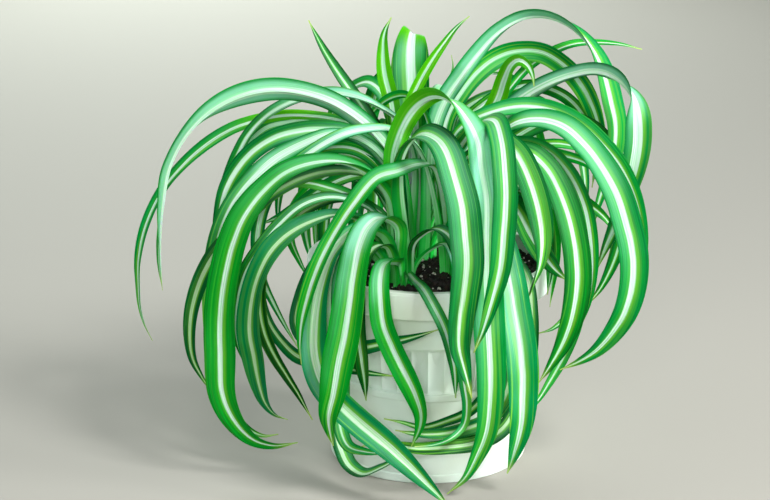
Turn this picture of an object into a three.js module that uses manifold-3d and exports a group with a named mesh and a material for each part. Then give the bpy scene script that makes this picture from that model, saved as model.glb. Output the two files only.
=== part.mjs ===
// A potted spider plant, in millimetres, +Z up. The origin is the centre of the saucer's underside.
// A fluted plastic pot stands in its own saucer, filled with soil. The plant grows from one rootstock
// in three tufts of striped leaves: each long leaf is a piece of its own, and the short ones are part
// of the rootstock.

import * as THREE from "three";
import { mergeVertices } from "three/addons/utils/BufferGeometryUtils.js";
import Module from "manifold-3d";

const wasm = await Module();
wasm.setup();

// Clearance between two pieces that rest on or in each other
const GAP = 0.3;

// Saucer
const SAUCER_TOP = 26;
const SAUCER_TOP_RADIUS = 61.8;
const SAUCER_FOOT_RADIUS = 61.3;
const SAUCER_FOOT_TOP = 5;
const SAUCER_WALL_RADIUS = 60.5;
const SAUCER_WALL = 1.9;
const SAUCER_FLOOR = 3;
const EDGE = 0.6;

// Pot, from the ring that it stands on up to its rim
const POT_BOTTOM = SAUCER_FLOOR + GAP;
const POT_FOOT_RADIUS = 54.8;
const POT_FOOT_WIDTH = 3;
const POT_FOOT_HEIGHT = 2;
const POT_FLOOR = 3;
const POT_WALL = 2.6;
const RING_BOTTOM = 53;
const RING_TOP = 57.5;
const RING_RADIUS = 62;
const UNDER_RING_RADIUS = 60;
const FLUTES_TOP = 86.5;
const FLUTES_BOTTOM_RADIUS = 60.6;
const FLUTES_TOP_RADIUS = 63.4;
const FLUTE_DEPTH = 1.7;
const FLUTES = 40;
const BAND_RADIUS = 65;
const RIM_BOTTOM = 109;
const RIM_NECK_RADIUS = 67;
const RIM_RADIUS = 75;
const RIM_TOP = 126;
const RIM_LIP = 4.5;
const DRAIN_HOLES = 6;
const DRAIN_RADIUS = 3.5;
const DRAIN_CIRCLE = 34;
const DRAIN_SEGMENTS = 8;

// The pot is split so that each flute has a ridge and a hollow.
const ROUND_SEGMENTS = 2 * FLUTES;
const SAUCER_SEGMENTS = 60;

// Soil, with a plain hollow that the rootstock stands in
const SOIL_TOP = 117;
const SOIL_SEGMENTS = 40;
const WELL_FLOOR = 112;
const WELL_MARGIN = 2;
const WELL_SEGMENTS = 24;

// Rootstock: three joined crowns, and where the roots of the leaves stand
const CROWNS = {
  front: [-15, -24],
  right: [14, -6],
  back: [-8, 18],
};
const CROWN_RADIUS = 20;
const CROWN_BOTTOM = WELL_FLOOR + GAP;
const CROWN_TOP = 114.5;
const CROWN_SEGMENTS = 20;
const ROOT_SUNK = 1.4;

// Leaf blades
const BLADE = 0.65;
const TIP_HALF_WIDTH = 0.4;
const BASE_WIDTH = 0.3;
const FULL_WIDTH_AT = 0.6;
const TAPER_FROM = 0.7;
const TAPER_POWER = 2;
const FOLD = 16;
const BASE_FOLD = 62;
const FOLD_OPENS_BY = 0.35;
const SEGMENT_LENGTH = 19;
const FEWEST_SEGMENTS = 7;
const MOST_SEGMENTS = 16;
const FINE_STEPS = 6;

// A leaf rises from its root before it turns to its first point, and heads for the first point that is
// further from the crown's centre than AIM_RADIUS.
const AIM_RADIUS = 22;
const RISE_SHARE = 0.45;
const SMALLEST_RISE = 6;
const LARGEST_RISE = 22;
const RISE_LEAN = 2;

// The points of the leaves are given as the plant is seen from the front: across and up on the plane
// through the middle of the rim that faces the eye, and the true depth, +Y.
const VIEW_TILT = THREE.MathUtils.degToRad(17.8);
const VIEW_DISTANCE = 1354;

// Each leaf: its name, its crown, how far from the crown's centre its root stands, its width, the angles
// that the blade is rolled to, at even steps from root to tip, and the points of its midrib.
const LEAVES = [
  ["far_left_arch", "back", 7, 16, [0, 45, 50, 0, -40], [
    [-22, 57, 1], [-36, 76, 1], [-60, 93, -2], [-85, 100, -4], [-103, 100, -5], [-121, 95, -6],
    [-138, 85, -8], [-151, 71, -10], [-160, 53, -12], [-164, 32, -14], [-166, 12, -15], [-166, -7, -16],
    [-164, -23, -16],
  ]],
  ["far_left_low_arch", "back", 13, 9, [0, -20, -40, -30, -25], [
    [-23, 50, 20], [-36, 73, 23], [-55, 82, 24], [-75, 85, 25], [-90, 85, 24], [-106, 82, 24],
    [-121, 77, 24], [-136, 68, 21], [-150, 56, 20], [-162, 42, 18], [-170, 28, 17], [-176, 12, 16],
    [-179, -5, 15], [-179, -18, 14], [-178, -33, 13], [-175, -44, 12], [-170, -54, 11],
  ]],
  ["left_over_arch", "back", 3, 12, [0, -15, -35, -55, -60], [
    [-10, 62, 9], [-18, 81, 8], [-32, 91, 7], [-46, 97, 6], [-60, 99, 7], [-74, 97, 9], [-88, 92, 10],
    [-101, 84, 11], [-111, 73, 11], [-118, 60, 10], [-124, 45, 11], [-129, 28, 9], [-132, 12, 7],
    [-131, -4, 6],
  ]],
  ["left_thin_arch", "back", 17, 8, [0, -20, -40, -55, -55], [
    [-26, 54, 29], [-38, 73, 31], [-55, 80, 32], [-72, 83, 33], [-88, 81, 34], [-100, 78, 34],
    [-109, 71, 33], [-116, 61, 32], [-121, 50, 30], [-124, 36, 28],
  ]],
  ["left_striped_arch", "front", 12, 11, [0, -12, -40, -60, -60], [
    [-22, 45, -12], [-35, 66, -12], [-50, 75, -12], [-65, 77, -12], [-80, 76, -12], [-95, 72, -13],
    [-108, 64, -14], [-118, 53, -15], [-125, 40, -16], [-129, 25, -17], [-131, 10, -18], [-130, -6, -19],
  ]],
  ["left_broad_arch", "front", 8, 14, [0, -8, -40, -65, -65], [
    [-22, 42, -19], [-33, 63, -19], [-48, 72, -19], [-62, 73, -20], [-78, 67, -20], [-93, 59, -22],
    [-106, 48, -27], [-117, 35, -30], [-125, 20, -33], [-130, 2, -36], [-132, -20, -38],
    [-131, -50, -40], [-128, -75, -41], [-122, -95, -42], [-112, -107, -43], [-101, -112, -43],
    [-92, -111, -42],
  ]],
  ["left_long_hanging", "front", 7, 19, [0, -5, -45, -72, -65], [
    [-25, 34, -28.5], [-36, 48, -33], [-52, 56, -38], [-70, 56, -44], [-88, 50, -48], [-102, 38, -51],
    [-113, 24, -55], [-120, 8, -58], [-125, -12, -60], [-128, -35, -61], [-128, -60, -62],
    [-127, -85, -62], [-121, -100, -61], [-112, -111, -60], [-104, -116, -58], [-94, -118, -56],
    [-80, -116, -54],
  ]],
  ["left_dark_hanging", "front", 10, 10, [0, -15, -40, -55, -55], [
    [-28, 40, -21], [-44, 50, -25], [-68, 50, -35], [-92, 40, -40], [-110, 25, -40], [-123, 10, -44],
    [-133, -2, -47], [-141, -18, -49], [-146, -36, -51], [-147, -52, -52], [-145, -65, -52],
    [-140, -75, -52], [-133, -86, -51],
  ]],
  ["left_pale_arch", "right", 9, 9, [0, -15, -35, -60, -65], [
    [-4, 60, -13], [-14, 73, -18], [-25, 77, -22], [-38, 77, -25], [-52, 74, -29], [-66, 67, -31],
    [-80, 57, -32], [-92, 45, -31], [-101, 30, -29], [-105, 14, -28], [-105, -2, -28], [-102, -16, -28],
    [-95, -31, -29], [-87, -46, -31], [-80, -58, -33],
  ]],
  ["left_front_drooping", "front", 13, 16, [0, -10, -40, -55, -55], [
    [-26, 8, -31], [-38, 19, -37], [-55, 24, -43], [-72, 20, -47], [-88, 11, -51], [-98, 0, -54],
    [-105, -14, -56], [-109, -30, -57], [-110, -48, -57], [-107, -65, -56], [-104, -80, -54],
    [-100, -92, -51], [-94, -99, -48], [-86, -102, -46],
  ]],
  ["left_dark_edge", "front", 13, 9, [0, -20, -40, -50, -50], [
    [-31, 22, -27], [-45, 32, -30], [-62, 35, -32], [-78, 30, -36], [-92, 18, -40], [-104, 3, -44],
    [-113, -12, -46], [-118, -32, -47], [-118, -52, -47], [-113, -69, -46],
  ]],
  ["front_left_diagonal", "right", 8, 14, [0, -20, -20], [
    [3, 53, -27], [-8, 55, -44], [-20, 51, -54], [-32, 47, -55], [-45, 32, -61], [-58, 12, -67],
    [-68, -8, -75], [-74, -25, -79], [-78, -42, -82], [-79, -56, -83], [-78, -68, -83],
  ]],
  ["low_left_diagonal", "front", 16, 17, [0, -25, -55, -60, -60], [
    [-30, 12, -42], [-44, 14, -50], [-58, 2, -57], [-66, -18, -63], [-70, -42, -70], [-70, -60, -76],
    [-65, -78, -81], [-55, -91, -86], [-42, -103, -92], [-24, -118, -98], [-8, -133, -102],
    [8, -149, -104], [14, -156, -105],
  ]],
  ["front_left_wide", "front", 12, 20, [0, -5, -10], [
    [-21, 17, -36], [-30, 22, -45], [-38, 16, -58], [-43, 4, -70], [-46, -12, -78], [-48, -28, -84],
    [-51, -48, -88], [-55, -68, -91], [-58, -86, -94], [-61, -100, -94], [-60, -110, -90],
    [-58, -118, -88],
  ]],
  ["front_left_dark", "front", 18, 13, [0, 0, 0], [
    [-27, 5, -45], [-36, 2, -57], [-42, -12, -65], [-43, -30, -69], [-43, -48, -74], [-41, -64, -78],
    [-39, -78, -78], [-38, -90, -77],
  ]],
  ["front_low_curl", "front", 14, 14, [0, 0, 0, 40], [
    [-18, -7, -40], [-20, -5, -49], [-27, -6, -59], [-30, -14, -72], [-30, -26, -80], [-28, -42, -83],
    [-22, -57, -84], [-14, -73, -86], [-7, -88, -87], [-4, -99, -87], [-5, -107, -87], [-10, -118, -86],
  ]],
  ["front_rim_diagonal", "front", 15, 8, [0, 10, 20], [
    [-13, -12, -46], [-9, -16, -60], [-3, -22, -76], [3, -32, -82], [9, -44, -83], [13, -56, -82],
    [16, -70, -79], [17, -88, -76],
  ]],
  ["front_small_arch", "front", 15, 9, [0, 10, 20], [
    [-9, 6, -38], [-3, 13, -46], [4, 16, -56], [11, 13, -66], [15, 7, -74], [18, -4, -80],
    [19, -15, -83],
  ]],
  ["front_centre_hanging", "front", 9, 20, [0, 40, 28, 22, 20], [
    [-17, 43, -32], [-16, 60, -37], [-11, 70, -43], [-4, 74, -50], [4, 71, -58], [10, 63, -68],
    [15, 48, -78], [20, 30, -86], [22, 12, -90], [23, -6, -94], [21, -24, -96], [19, -42, -95],
    [19, -57, -94], [22, -69, -93], [25, -80, -92], [27, -88, -91],
  ]],
  ["front_tall_arch", "front", 2, 19, [0, -40, 35, 50, 55], [
    [-21, 42, -29], [-22, 60, -30], [-16, 79, -32], [-8, 91, -36], [2, 97, -42], [12, 95, -49],
    [21, 85, -57], [29, 70, -60], [32, 52, -66], [35, 32, -74], [35, 12, -78], [35, -10, -81],
    [36, -30, -83], [37, -50, -87], [38, -70, -88], [38, -90, -88], [36, -108, -87], [30, -124, -85],
    [23, -137, -83], [12, -147, -80],
  ]],
  ["front_right_inner", "right", 10, 14, [0, 0, 20, 20, 20], [
    [12, 50, -14], [22, 71, -24], [32, 82, -36], [40, 82, -49], [44, 71, -63], [46, 53, -76],
    [47, 33, -86], [46, 12, -93], [44, -8, -98], [39, -28, -101], [34, -45, -102], [28, -60, -101],
  ]],
  ["front_right_pale", "right", 16, 19, [0, 15, 38, 40, 45], [
    [15, 12, -26], [24, 26, -40], [34, 24, -51], [43, 10, -63], [49, -12, -71], [53, -35, -76],
    [57, -60, -82], [58, -85, -83], [57, -105, -82], [53, -122, -80], [49, -134, -77],
  ]],
  ["right_folded", "right", 15.5, 16, [0, 10, 40, 50, -20], [
    [16, 50, -26], [30, 66, -30], [42, 71, -39], [52, 64, -47], [60, 50, -56], [66, 32, -62],
    [69, 12, -66], [68, -5, -69], [64, -18, -70], [60, -30, -72],
  ]],
  ["right_low_striped", "right", 17, 17, [0, 15, 50], [
    [28, 34, -14], [40, 36, -21], [52, 30, -27], [62, 13, -33], [70, 1, -37], [77, -8, -40],
    [85, -15, -43],
  ]],
  ["right_broad_hanging", "right", 13, 17, [0, 10, 42, 60, 60], [
    [24, 45, -15], [36, 60, -25], [50, 65, -31], [62, 62, -38], [72, 53, -40], [80, 39, -46],
    [86, 22, -51], [90, 2, -55], [91, -18, -58], [88, -38, -60], [82, -55, -60], [74, -69, -59],
    [68, -78, -57],
  ]],
  ["right_dark_edge", "right", 11, 10, [0, 10, 40, 60, 60], [
    [26, 50, -4], [42, 66, -9], [58, 69, -14], [72, 64, -20], [86, 50, -27], [95, 31, -33],
    [99, 11, -38], [100, -10, -41], [98, -28, -43], [93, -45, -44],
  ]],
  ["right_upper_arch", "right", 2, 12, [0, 10, 40, 60, 65], [
    [12, 50, -2], [12, 64, -2], [17, 75, -3], [25, 82, -4], [36, 87, -6], [52, 91, -7], [66, 91, -9],
    [80, 87, -14], [94, 79, -19], [106, 68, -24], [117, 54, -29], [125, 38, -32], [130, 20, -35],
    [132, 2, -36], [130, -14, -37],
  ]],
  ["right_long_hanging", "right", 8, 18, [0, 10, 40, 62, 70], [
    [24, 54, -8], [40, 71, -14], [54, 81, -21], [68, 83, -23], [82, 79, -28], [95, 68, -32],
    [106, 54, -34], [115, 38, -38], [121, 20, -41], [125, 2, -44], [125, -16, -46], [121, -33, -47],
    [113, -47, -46], [103, -58, -44], [92, -65, -42], [81, -70, -40],
  ]],
  ["right_pale_arch", "right", 8, 16, [0, -50, -75, -75, -70, 50, 75, 70], [
    [25, 62, 4], [36, 76, 2], [48, 88, 2], [60, 98, 0], [74, 106, -4], [88, 111, -6], [102, 113, -8],
    [114, 109, -10], [123, 100, -12], [127, 87, -14], [128, 72, -16], [126, 56, -18], [121, 38, -20],
    [115, 20, -21], [108, 4, -21], [103, -9, -20],
  ]],
  ["right_tail", "right", 12, 12, [0, 15, 40, 60, 60], [
    [30, 50, 20], [55, 74, 24], [80, 84, 24], [100, 78, 23], [113, 62, 21], [119, 40, 19], [119, 18, 16],
    [114, -2, 13], [106, -19, 11], [97, -31, 10],
  ]],
  ["tall_right_arch", "back", 9, 16, [0, -60, -20, 65, 75], [
    [2, 72, 8], [8, 92, 10], [18, 108, 12], [30, 124, 14], [42, 137, 15], [55, 145, 16], [67, 147, 16],
    [80, 144, 16], [92, 136, 15], [101, 124, 14], [107, 110, 13], [111, 95, 12], [114, 80, 10],
    [113, 64, 9], [108, 47, 10], [103, 30, 11], [99, 14, 11],
  ]],
  ["second_right_arch", "right", 6, 13, [0, -55, -5, 20, 30], [
    [10, 80, 16], [20, 101, 20], [32, 115, 22], [44, 123, 24], [56, 126, 25], [69, 125, 26],
    [81, 118, 26], [91, 108, 25], [99, 94, 30], [104, 79, 30], [107, 62, 30], [106, 46, 29],
  ]],
  ["right_back_arch", "right", 18, 9, [0, 40, 50], [
    [21, 80, 32], [34, 94, 34], [47, 101, 38], [60, 105, 38], [73, 103, 38], [85, 97, 36], [94, 87, 35],
    [100, 73, 34], [102, 58, 33], [100, 42, 32],
  ]],
  ["right_curled", "right", 5, 11, [0, 20, 10, -40], [
    [25, 68, 18], [35, 84, 14], [42, 96, 10], [46, 108, 8], [50, 117, 0], [55, 120, -5], [60, 117, -8],
    [63, 111, -9], [64, 104, -9],
  ]],
  ["right_back_thin", "back", 12, 8, [0, 40, 60], [
    [11, 70, 32], [20, 88, 41], [32, 96, 42], [46, 99, 44], [60, 97, 46], [72, 91, 47], [83, 81, 48],
    [91, 68, 48], [95, 52, 47], [96, 35, 46], [95, 18, 39],
  ]],
  ["right_pointed", "right", 9.5, 7, [0, -20, -20], [
    [23, 62, 21], [34, 82, 26], [48, 101, 30], [60, 115, 32], [73, 124, 33], [88, 130, 33],
    [103, 131, 33], [117, 130, 32], [130, 127, 31],
  ]],
  ["back_small_tip", "right", 14, 6, [0, 40, 60], [
    [9, 80, 23], [11, 105, 26], [14, 116, 28], [13, 123, 29],
  ]],
  ["back_small_blade", "right", 14, 6, [0, -60, -60], [
    [14, 75, 28], [19, 92, 28], [21, 106, 29],
  ]],
  ["upright_thin", "front", 5, 7, [0, 30, 40], [
    [-19, 66, -4], [-16, 85, -3], [-10, 99, -3], [-4, 111, -4], [2, 121, -5], [9, 131, -6],
    [16, 140, -7], [24, 147, -8],
  ]],
  ["upright_channel", "back", 6, 24, [0, -20, -20, 20], [
    [-10, 75, 29], [-11, 100, 34], [-12, 118, 39], [-12, 129, 45], [-11, 136, 53], [-10, 134, 61],
    [-9, 128, 66],
  ]],
  ["upright_blade", "back", 7, 10, [0, -60, -70], [
    [-21, 74, 19], [-24, 95, 24], [-28, 112, 26], [-29, 126, 28], [-28, 137, 30], [-24, 146, 31],
  ]],
  ["up_left_pointed", "back", 11, 8, [0, -70, -70], [
    [-28, 68, 13], [-37, 84, 12], [-46, 97, 15], [-56, 111, 16], [-65, 125, 16], [-71, 136, 17],
    [-75, 144, 17],
  ]],
  ["back_left_arch", "back", 12, 10, [0, -30, -60, -70], [
    [-24, 85, 33], [-30, 100, 38], [-38, 106, 46], [-47, 103, 53], [-54, 96, 58], [-60, 86, 61],
    [-64, 74, 64], [-67, 58, 69], [-69, 38, 75], [-70, 14, 80], [-68, -10, 82],
  ]],
  ["back_pale_arch", "right", 9, 7, [0, 45, 45], [
    [1, 75, -3], [-5, 91, 1], [-14, 98, 8], [-23, 97, 15], [-31, 92, 20], [-37, 85, 25], [-42, 76, 30],
  ]],
  ["back_teal_arch", "back", 10, 12, [0, 30, 30], [
    [-13, 92, 44], [-16, 106, 52], [-22, 112, 62], [-28, 109, 72], [-33, 100, 80], [-36, 88, 87],
    [-39, 72, 95], [-42, 50, 104], [-44, 22, 111], [-44, -6, 114],
  ]],
  ["front_hooked", "front", 15, 6, [0, 20, 20, 60], [
    [2, 4, -46], [11, 6, -58], [17, -8, -72], [20, -32, -84], [20, -58, -87], [22, -78, -87],
    [24, -92, -86], [22, -105, -85], [14, -113, -89], [3, -117, -88], [-8, -118, -89],
  ]],
  ["saucer_sweep_upper", "right", 19, 7, [0, 20, 40, 60], [
    [24, 8, -50], [34, 4, -62], [39, -14, -71], [40, -40, -74], [39, -65, -74], [35, -85, -73],
    [25, -96, -71], [12, -102, -71], [-3, -106, -72], [-16, -103, -72], [-27, -101, -73],
  ]],
  ["saucer_sweep_middle", "right", 19, 11, [0, 20, 40, 60], [
    [30, 14, -44], [44, 8, -56], [52, -12, -64], [54, -40, -67], [52, -65, -68], [47, -87, -69],
    [36, -101, -71], [22, -107, -75], [6, -110, -77], [-8, -110, -77], [-20, -108, -76],
  ]],
  ["saucer_sweep_lower", "right", 19, 10, [0, 20, 40, 60], [
    [36, 10, -38], [50, 0, -48], [60, -14, -54], [63, -35, -57], [62, -62, -58], [56, -88, -60],
    [46, -106, -66], [30, -115, -76], [12, -118, -83], [-6, -119, -84], [-22, -117, -82],
    [-34, -116, -80], [-42, -119, -78],
  ]],
  ["pot_sweep_upper", "front", 16, 9, [0, -20, -40, -60], [
    [-34, 12, -30], [-54, 10, -37], [-70, -6, -45], [-79, -28, -50], [-81, -43, -54], [-75, -53, -58],
    [-62, -58, -62], [-45, -58, -67], [-28, -55, -73], [-10, -51, -78], [6, -46, -80],
  ]],
  ["pot_sweep_lower", "front", 14, 9, [0, -20, -40, -60], [
    [-40, 30, -16], [-68, 32, -15], [-90, 15, -17], [-101, -5, -19], [-103, -25, -22], [-98, -42, -29],
    [-89, -55, -38], [-80, -63, -46], [-68, -66, -53], [-52, -70, -60], [-36, -73, -66], [-19, -75, -70],
  ]],
  ["left_lower_dark", "front", 18, 9, [0, -45, -50], [
    [-38, 30, -22], [-58, 34, -24], [-76, 27, -27], [-92, 12, -30], [-102, -8, -34], [-104, -30, -38],
    [-101, -48, -42], [-95, -62, -45], [-87, -75, -48], [-80, -86, -50], [-75, -95, -49],
    [-71, -102, -50],
  ]],
  ["saucer_fold_upper", "front", 18, 11, [0, -20, -60, -30], [
    [-40, 8, -42], [-48, 3, -51], [-54, -14, -59], [-54.5, -40, -68], [-54, -66, -71], [-54, -90, -75],
    [-54, -106, -81], [-49, -118, -86], [-38, -121.5, -91], [-24, -122.5, -93],
  ]],
  ["saucer_fold_lower", "front", 19, 15, [0, -20, -45, -95, -60], [
    [-44, 4, -38], [-53, -2, -46], [-60.5, -20, -56], [-61, -45, -64], [-61, -72, -67], [-58, -98, -69],
    [-55, -117, -72], [-49, -130, -78], [-40, -135.5, -84], [-29, -131.5, -88], [-19, -126, -90],
    [-12, -123, -89],
  ]],
  ["left_inner_pale", "front", 10, 8, [0, -45, -50], [
    [-24, 44, -4], [-34, 58, -4], [-46, 65, -4], [-59, 66, -5], [-72, 62, -6], [-84, 54, -8],
    [-95, 43, -12], [-104, 29, -16],
  ]],
  ["left_inner_dark", "front", 14, 8, [0, -45, -50], [
    [-28, 50, -5], [-42, 59, -3], [-57, 62, -2], [-72, 59, -1], [-86, 50, -1], [-98, 38, -2],
    [-106, 24, -4],
  ]],
  ["left_gap_arch", "front", 18, 7, [0, -45, -50], [
    [-27, 22, -9], [-39, 31, -8], [-50, 37, -8], [-62, 41, -8], [-75, 44, -8], [-88, 43, -8],
    [-97, 36, -9], [-103, 26, -10],
  ]],
  ["left_back_dark", "back", 16, 9, [0, -50, -60], [
    [-28, 42, 16], [-38, 49, 16], [-52, 47, 18], [-66, 40, 20], [-80, 30, 21], [-92, 23, 22],
    [-104, 18, 23],
  ]],
  ["back_left_hanging", "back", 18, 9, [0, -60, -70], [
    [-25, 50, 38], [-45, 66, 47], [-62, 65, 48], [-73, 52, 48], [-77, 32, 50], [-75, 8, 51],
    [-70, -10, 51],
  ]],
  ["back_left_outer", "back", 18, 8, [0, -60, -70], [
    [-31, 62, 35], [-48, 74, 44], [-68, 71, 50], [-84, 59, 54], [-91, 42, 56], [-93, 27, 56],
    [-92, 12, 55],
  ]],
  ["left_olive", "back", 17, 9, [0, -60, -70], [
    [-32, 42, 22], [-52, 50, 27], [-70, 43, 31], [-83, 26, 34], [-85, 10, 35], [-79, -5, 35],
    [-72, -18, 34],
  ]],
  ["right_inner_upper", "right", 14, 6, [0, 45, 50], [
    [38, 54, 5], [52, 64, 5], [64, 67, 5], [77, 69, 4], [90, 67, 3], [101, 62, 2], [109, 53, 0],
  ]],
  ["right_inner_lower", "right", 15, 7, [0, 45, 50], [
    [38, 46, -5], [55, 59, -8], [70, 63, -10], [84, 61, -12], [96, 57, -14], [106, 50, -16],
    [113, 41, -18],
  ]],
  ["right_gap_tip", "right", 15, 9, [0, 50, 60], [
    [45, 44, 14], [62, 47, 14], [78, 43, 12], [92, 35, 10], [103, 28, 8], [110, 21, 6], [114, 12, 5],
  ]],
  ["right_gap_teal", "right", 16, 11, [0, 50, 60], [
    [38, 36, 5], [52, 41, 0], [64, 35, -8], [71, 22, -16], [75, 6, -22], [75, -8, -27], [73, -24, -32],
  ]],
  ["right_hooked", "right", 16, 7, [0, 45, 60], [
    [40, 38, -4], [62, 42, -8], [79, 30, -12], [89, 10, -17], [92, -12, -22], [90, -28, -27],
    [84, -38, -31], [76, -45, -35], [67, -48, -39],
  ]],
  ["right_low_tail", "right", 17, 8, [0, 50, 60], [
    [42, 32, 12], [64, 38, 13], [82, 27, 10], [91, 5, 4], [94, -18, -2], [91, -40, -8], [84, -60, -14],
    [75, -77, -20], [66, -91, -26], [58, -99, -32],
  ]],
];

// The far side of the plant: arches from the back crown, in three tiers that nest inside each other. Each
// tier has the ways that its leaves head, in degrees, how far they reach, how high they rise over the rim
// and hang under it, their width and the ring that their roots stand on.
const BACK_TIERS = [
  { tier: "high", turns: [52, 72], reach: 132, rise: 92, drop: 48, width: 14, ring: 12 },
  { tier: "middle", turns: [36, 60, 83, 104, 124], reach: 112, rise: 62, drop: 62, width: 12, ring: 15 },
  { tier: "low", turns: [24, 40, 57, 76, 100, 119, 138], reach: 84, rise: 34, drop: 70, width: 10, ring: 19 },
];
// An arch's points: the share of the way from its root out to its reach, and the share of the rise, or of
// the drop where it is negative.
const ARCH = [
  [0.12, 0.62], [0.22, 0.86], [0.38, 1], [0.58, 0.96], [0.76, 0.76], [0.89, 0.45], [0.97, 0.05],
  [1, -0.4], [0.97, -1],
];
const BACK_SEED = 7;
const TURN_SPREAD = 1.5;
const SIZE_SPREAD = 0.07;
const SWERVE = 5;

// Short leaves that are part of the rootstock's piece
const FUSED = [
  "back_small_tip", "back_small_blade", "back_pale_arch", "back_left_outer", "left_olive",
  "left_back_dark", "left_inner_pale", "left_inner_dark", "left_gap_arch", "front_small_arch",
  "front_rim_diagonal", "right_inner_upper", "right_inner_lower", "right_gap_tip", "right_gap_teal",
  "right_hooked", "back_left_hanging",
];
const FUSED_TIERS = ["back_middle", "back_low"];

// Solids

// Corners closer than this are one corner.
const SAME_CORNER = 1e-4;

function solidOf(geometry) {
  const bare = geometry.index ? geometry.toNonIndexed() : geometry.clone();
  for (const name of Object.keys(bare.attributes)) {
    if (name !== "position") bare.deleteAttribute(name);
  }
  const merged = mergeVertices(bare, SAME_CORNER);
  const corners = Array.from(merged.index.array);
  const triangles = [];
  for (let at = 0; at < corners.length; at += 3) {
    const [a, b, c] = corners.slice(at, at + 3);
    if (a !== b && b !== c && c !== a) triangles.push(a, b, c);
  }
  return new wasm.Manifold(new wasm.Mesh({
    numProp: 3,
    vertProperties: merged.attributes.position.array,
    triVerts: new Uint32Array(triangles),
  }));
}

function geometryOf(solid) {
  const mesh = solid.getMesh();
  const geometry = new THREE.BufferGeometry();
  geometry.setAttribute("position", new THREE.BufferAttribute(mesh.vertProperties, 3));
  geometry.setIndex(new THREE.BufferAttribute(mesh.triVerts, 1));
  return geometry.toNonIndexed();
}

function joined(solids) {
  return solids.reduce((whole, solid) => whole.add(solid));
}

// A closed solid from rings of points that all have the same count. Each cap is given as triangles of
// places in a ring. From the place named last on, the sides are split along the other diagonal.
function loftGeometry(rings, cap, turnedFrom = Infinity) {
  const count = rings[0].length;
  const corners = [];
  const place = (ring, point) => corners.push(...rings[ring][point % count].toArray());
  const triangle = (...places) => places.forEach(([ring, point]) => place(ring, point));
  for (let ring = 0; ring + 1 < rings.length; ring += 1) {
    for (let point = 0; point < count; point += 1) {
      const [a, b] = [[ring, point], [ring, point + 1]];
      const [c, d] = [[ring + 1, point + 1], [ring + 1, point]];
      if (point < turnedFrom) {
        triangle(a, b, c);
        triangle(a, c, d);
      } else {
        triangle(a, b, d);
        triangle(b, c, d);
      }
    }
  }
  for (const [a, b, c] of cap) {
    [c, b, a].forEach((point) => place(0, point));
    [a, b, c].forEach((point) => place(rings.length - 1, point));
  }
  const geometry = new THREE.BufferGeometry();
  geometry.setAttribute("position", new THREE.Float32BufferAttribute(corners, 3));
  return geometry;
}

function fanCap(count) {
  return Array.from({ length: count - 2 }, (_, index) => [0, index + 1, index + 2]);
}

// Random numbers from 0 to 1, the same on every run: a linear congruential generator of 32 bits.
const RANDOM_FACTOR = 1664525;
const RANDOM_STEP = 1013904223;
const RANDOM_RANGE = 2 ** 32;

function seededRandom(seed) {
  let state = seed;
  return () => {
    state = (Math.imul(state, RANDOM_FACTOR) + RANDOM_STEP) >>> 0;
    return state / RANDOM_RANGE;
  };
}

// Leaf shapes

const EYE = new THREE.Vector3(
  0,
  -VIEW_DISTANCE * Math.cos(VIEW_TILT),
  RIM_TOP + VIEW_DISTANCE * Math.sin(VIEW_TILT),
);

// A place in the plant from how it is seen.
function seen([across, up, depth]) {
  const point = new THREE.Vector3(across, up * Math.sin(VIEW_TILT), RIM_TOP + up * Math.cos(VIEW_TILT));
  const stretch = (depth - EYE.y) / (point.y - EYE.y);
  return point.sub(EYE).multiplyScalar(stretch).add(EYE);
}

function smooth(from, to, value) {
  const share = THREE.MathUtils.clamp((value - from) / (to - from), 0, 1);
  return share * share * (3 - 2 * share);
}

// The leaves of the far side.
function backLeaves() {
  const random = seededRandom(BACK_SEED);
  const spread = (size) => (random() * 2 - 1) * size;
  const [x, y] = CROWNS.back;
  return BACK_TIERS.flatMap(({ tier, turns, reach, rise, drop, width, ring }) => (
    turns.map((heading, index) => {
      const turn = heading + spread(TURN_SPREAD);
      const size = 1 + spread(SIZE_SPREAD);
      const swerve = spread(SWERVE);
      const points = ARCH.map(([out, height]) => {
        const way = THREE.MathUtils.degToRad(turn + swerve * out * out);
        const distance = ring + out * (reach * size - ring);
        return new THREE.Vector3(
          x + distance * Math.cos(way),
          y + distance * Math.sin(way),
          RIM_TOP + height * size * (height > 0 ? rise : drop),
        );
      });
      return { name: `back_${tier}_${index + 1}`, crown: "back", ring, width, rolls: [0, 0], points };
    })
  ));
}

// The midrib's points, from the root up to the tip, and the way that the leaf heads.
function midrib(crown, rootRing, rootHeight, points) {
  const [x, y] = CROWNS[crown];
  const flat = (point) => new THREE.Vector3(point.x - x, point.y - y, 0);
  const aim = points.find((point) => flat(point).length() > AIM_RADIUS) ?? points.at(-1);
  const heading = flat(aim).normalize();
  const root = new THREE.Vector3(x, y, rootHeight).addScaledVector(heading, rootRing);
  const lift = THREE.MathUtils.clamp((points[0].z - rootHeight) * RISE_SHARE, SMALLEST_RISE, LARGEST_RISE);
  const risen = root.clone().addScaledVector(heading, RISE_LEAN).add(new THREE.Vector3(0, 0, lift));
  return { heading, points: [root, risen, ...points] };
}

function rollAt(rolls, share) {
  const place = share * (rolls.length - 1);
  const index = Math.min(Math.floor(place), rolls.length - 2);
  const blend = smooth(0, 1, place - index);
  return THREE.MathUtils.degToRad(rolls[index] + (rolls[index + 1] - rolls[index]) * blend);
}

function halfWidth(share, width) {
  const grown = BASE_WIDTH + (1 - BASE_WIDTH) * smooth(0, FULL_WIDTH_AT, share);
  const taper = 1 - Math.max(0, (share - TAPER_FROM) / (1 - TAPER_FROM)) ** TAPER_POWER;
  return Math.max(TIP_HALF_WIDTH, (width / 2) * grown * taper);
}

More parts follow.
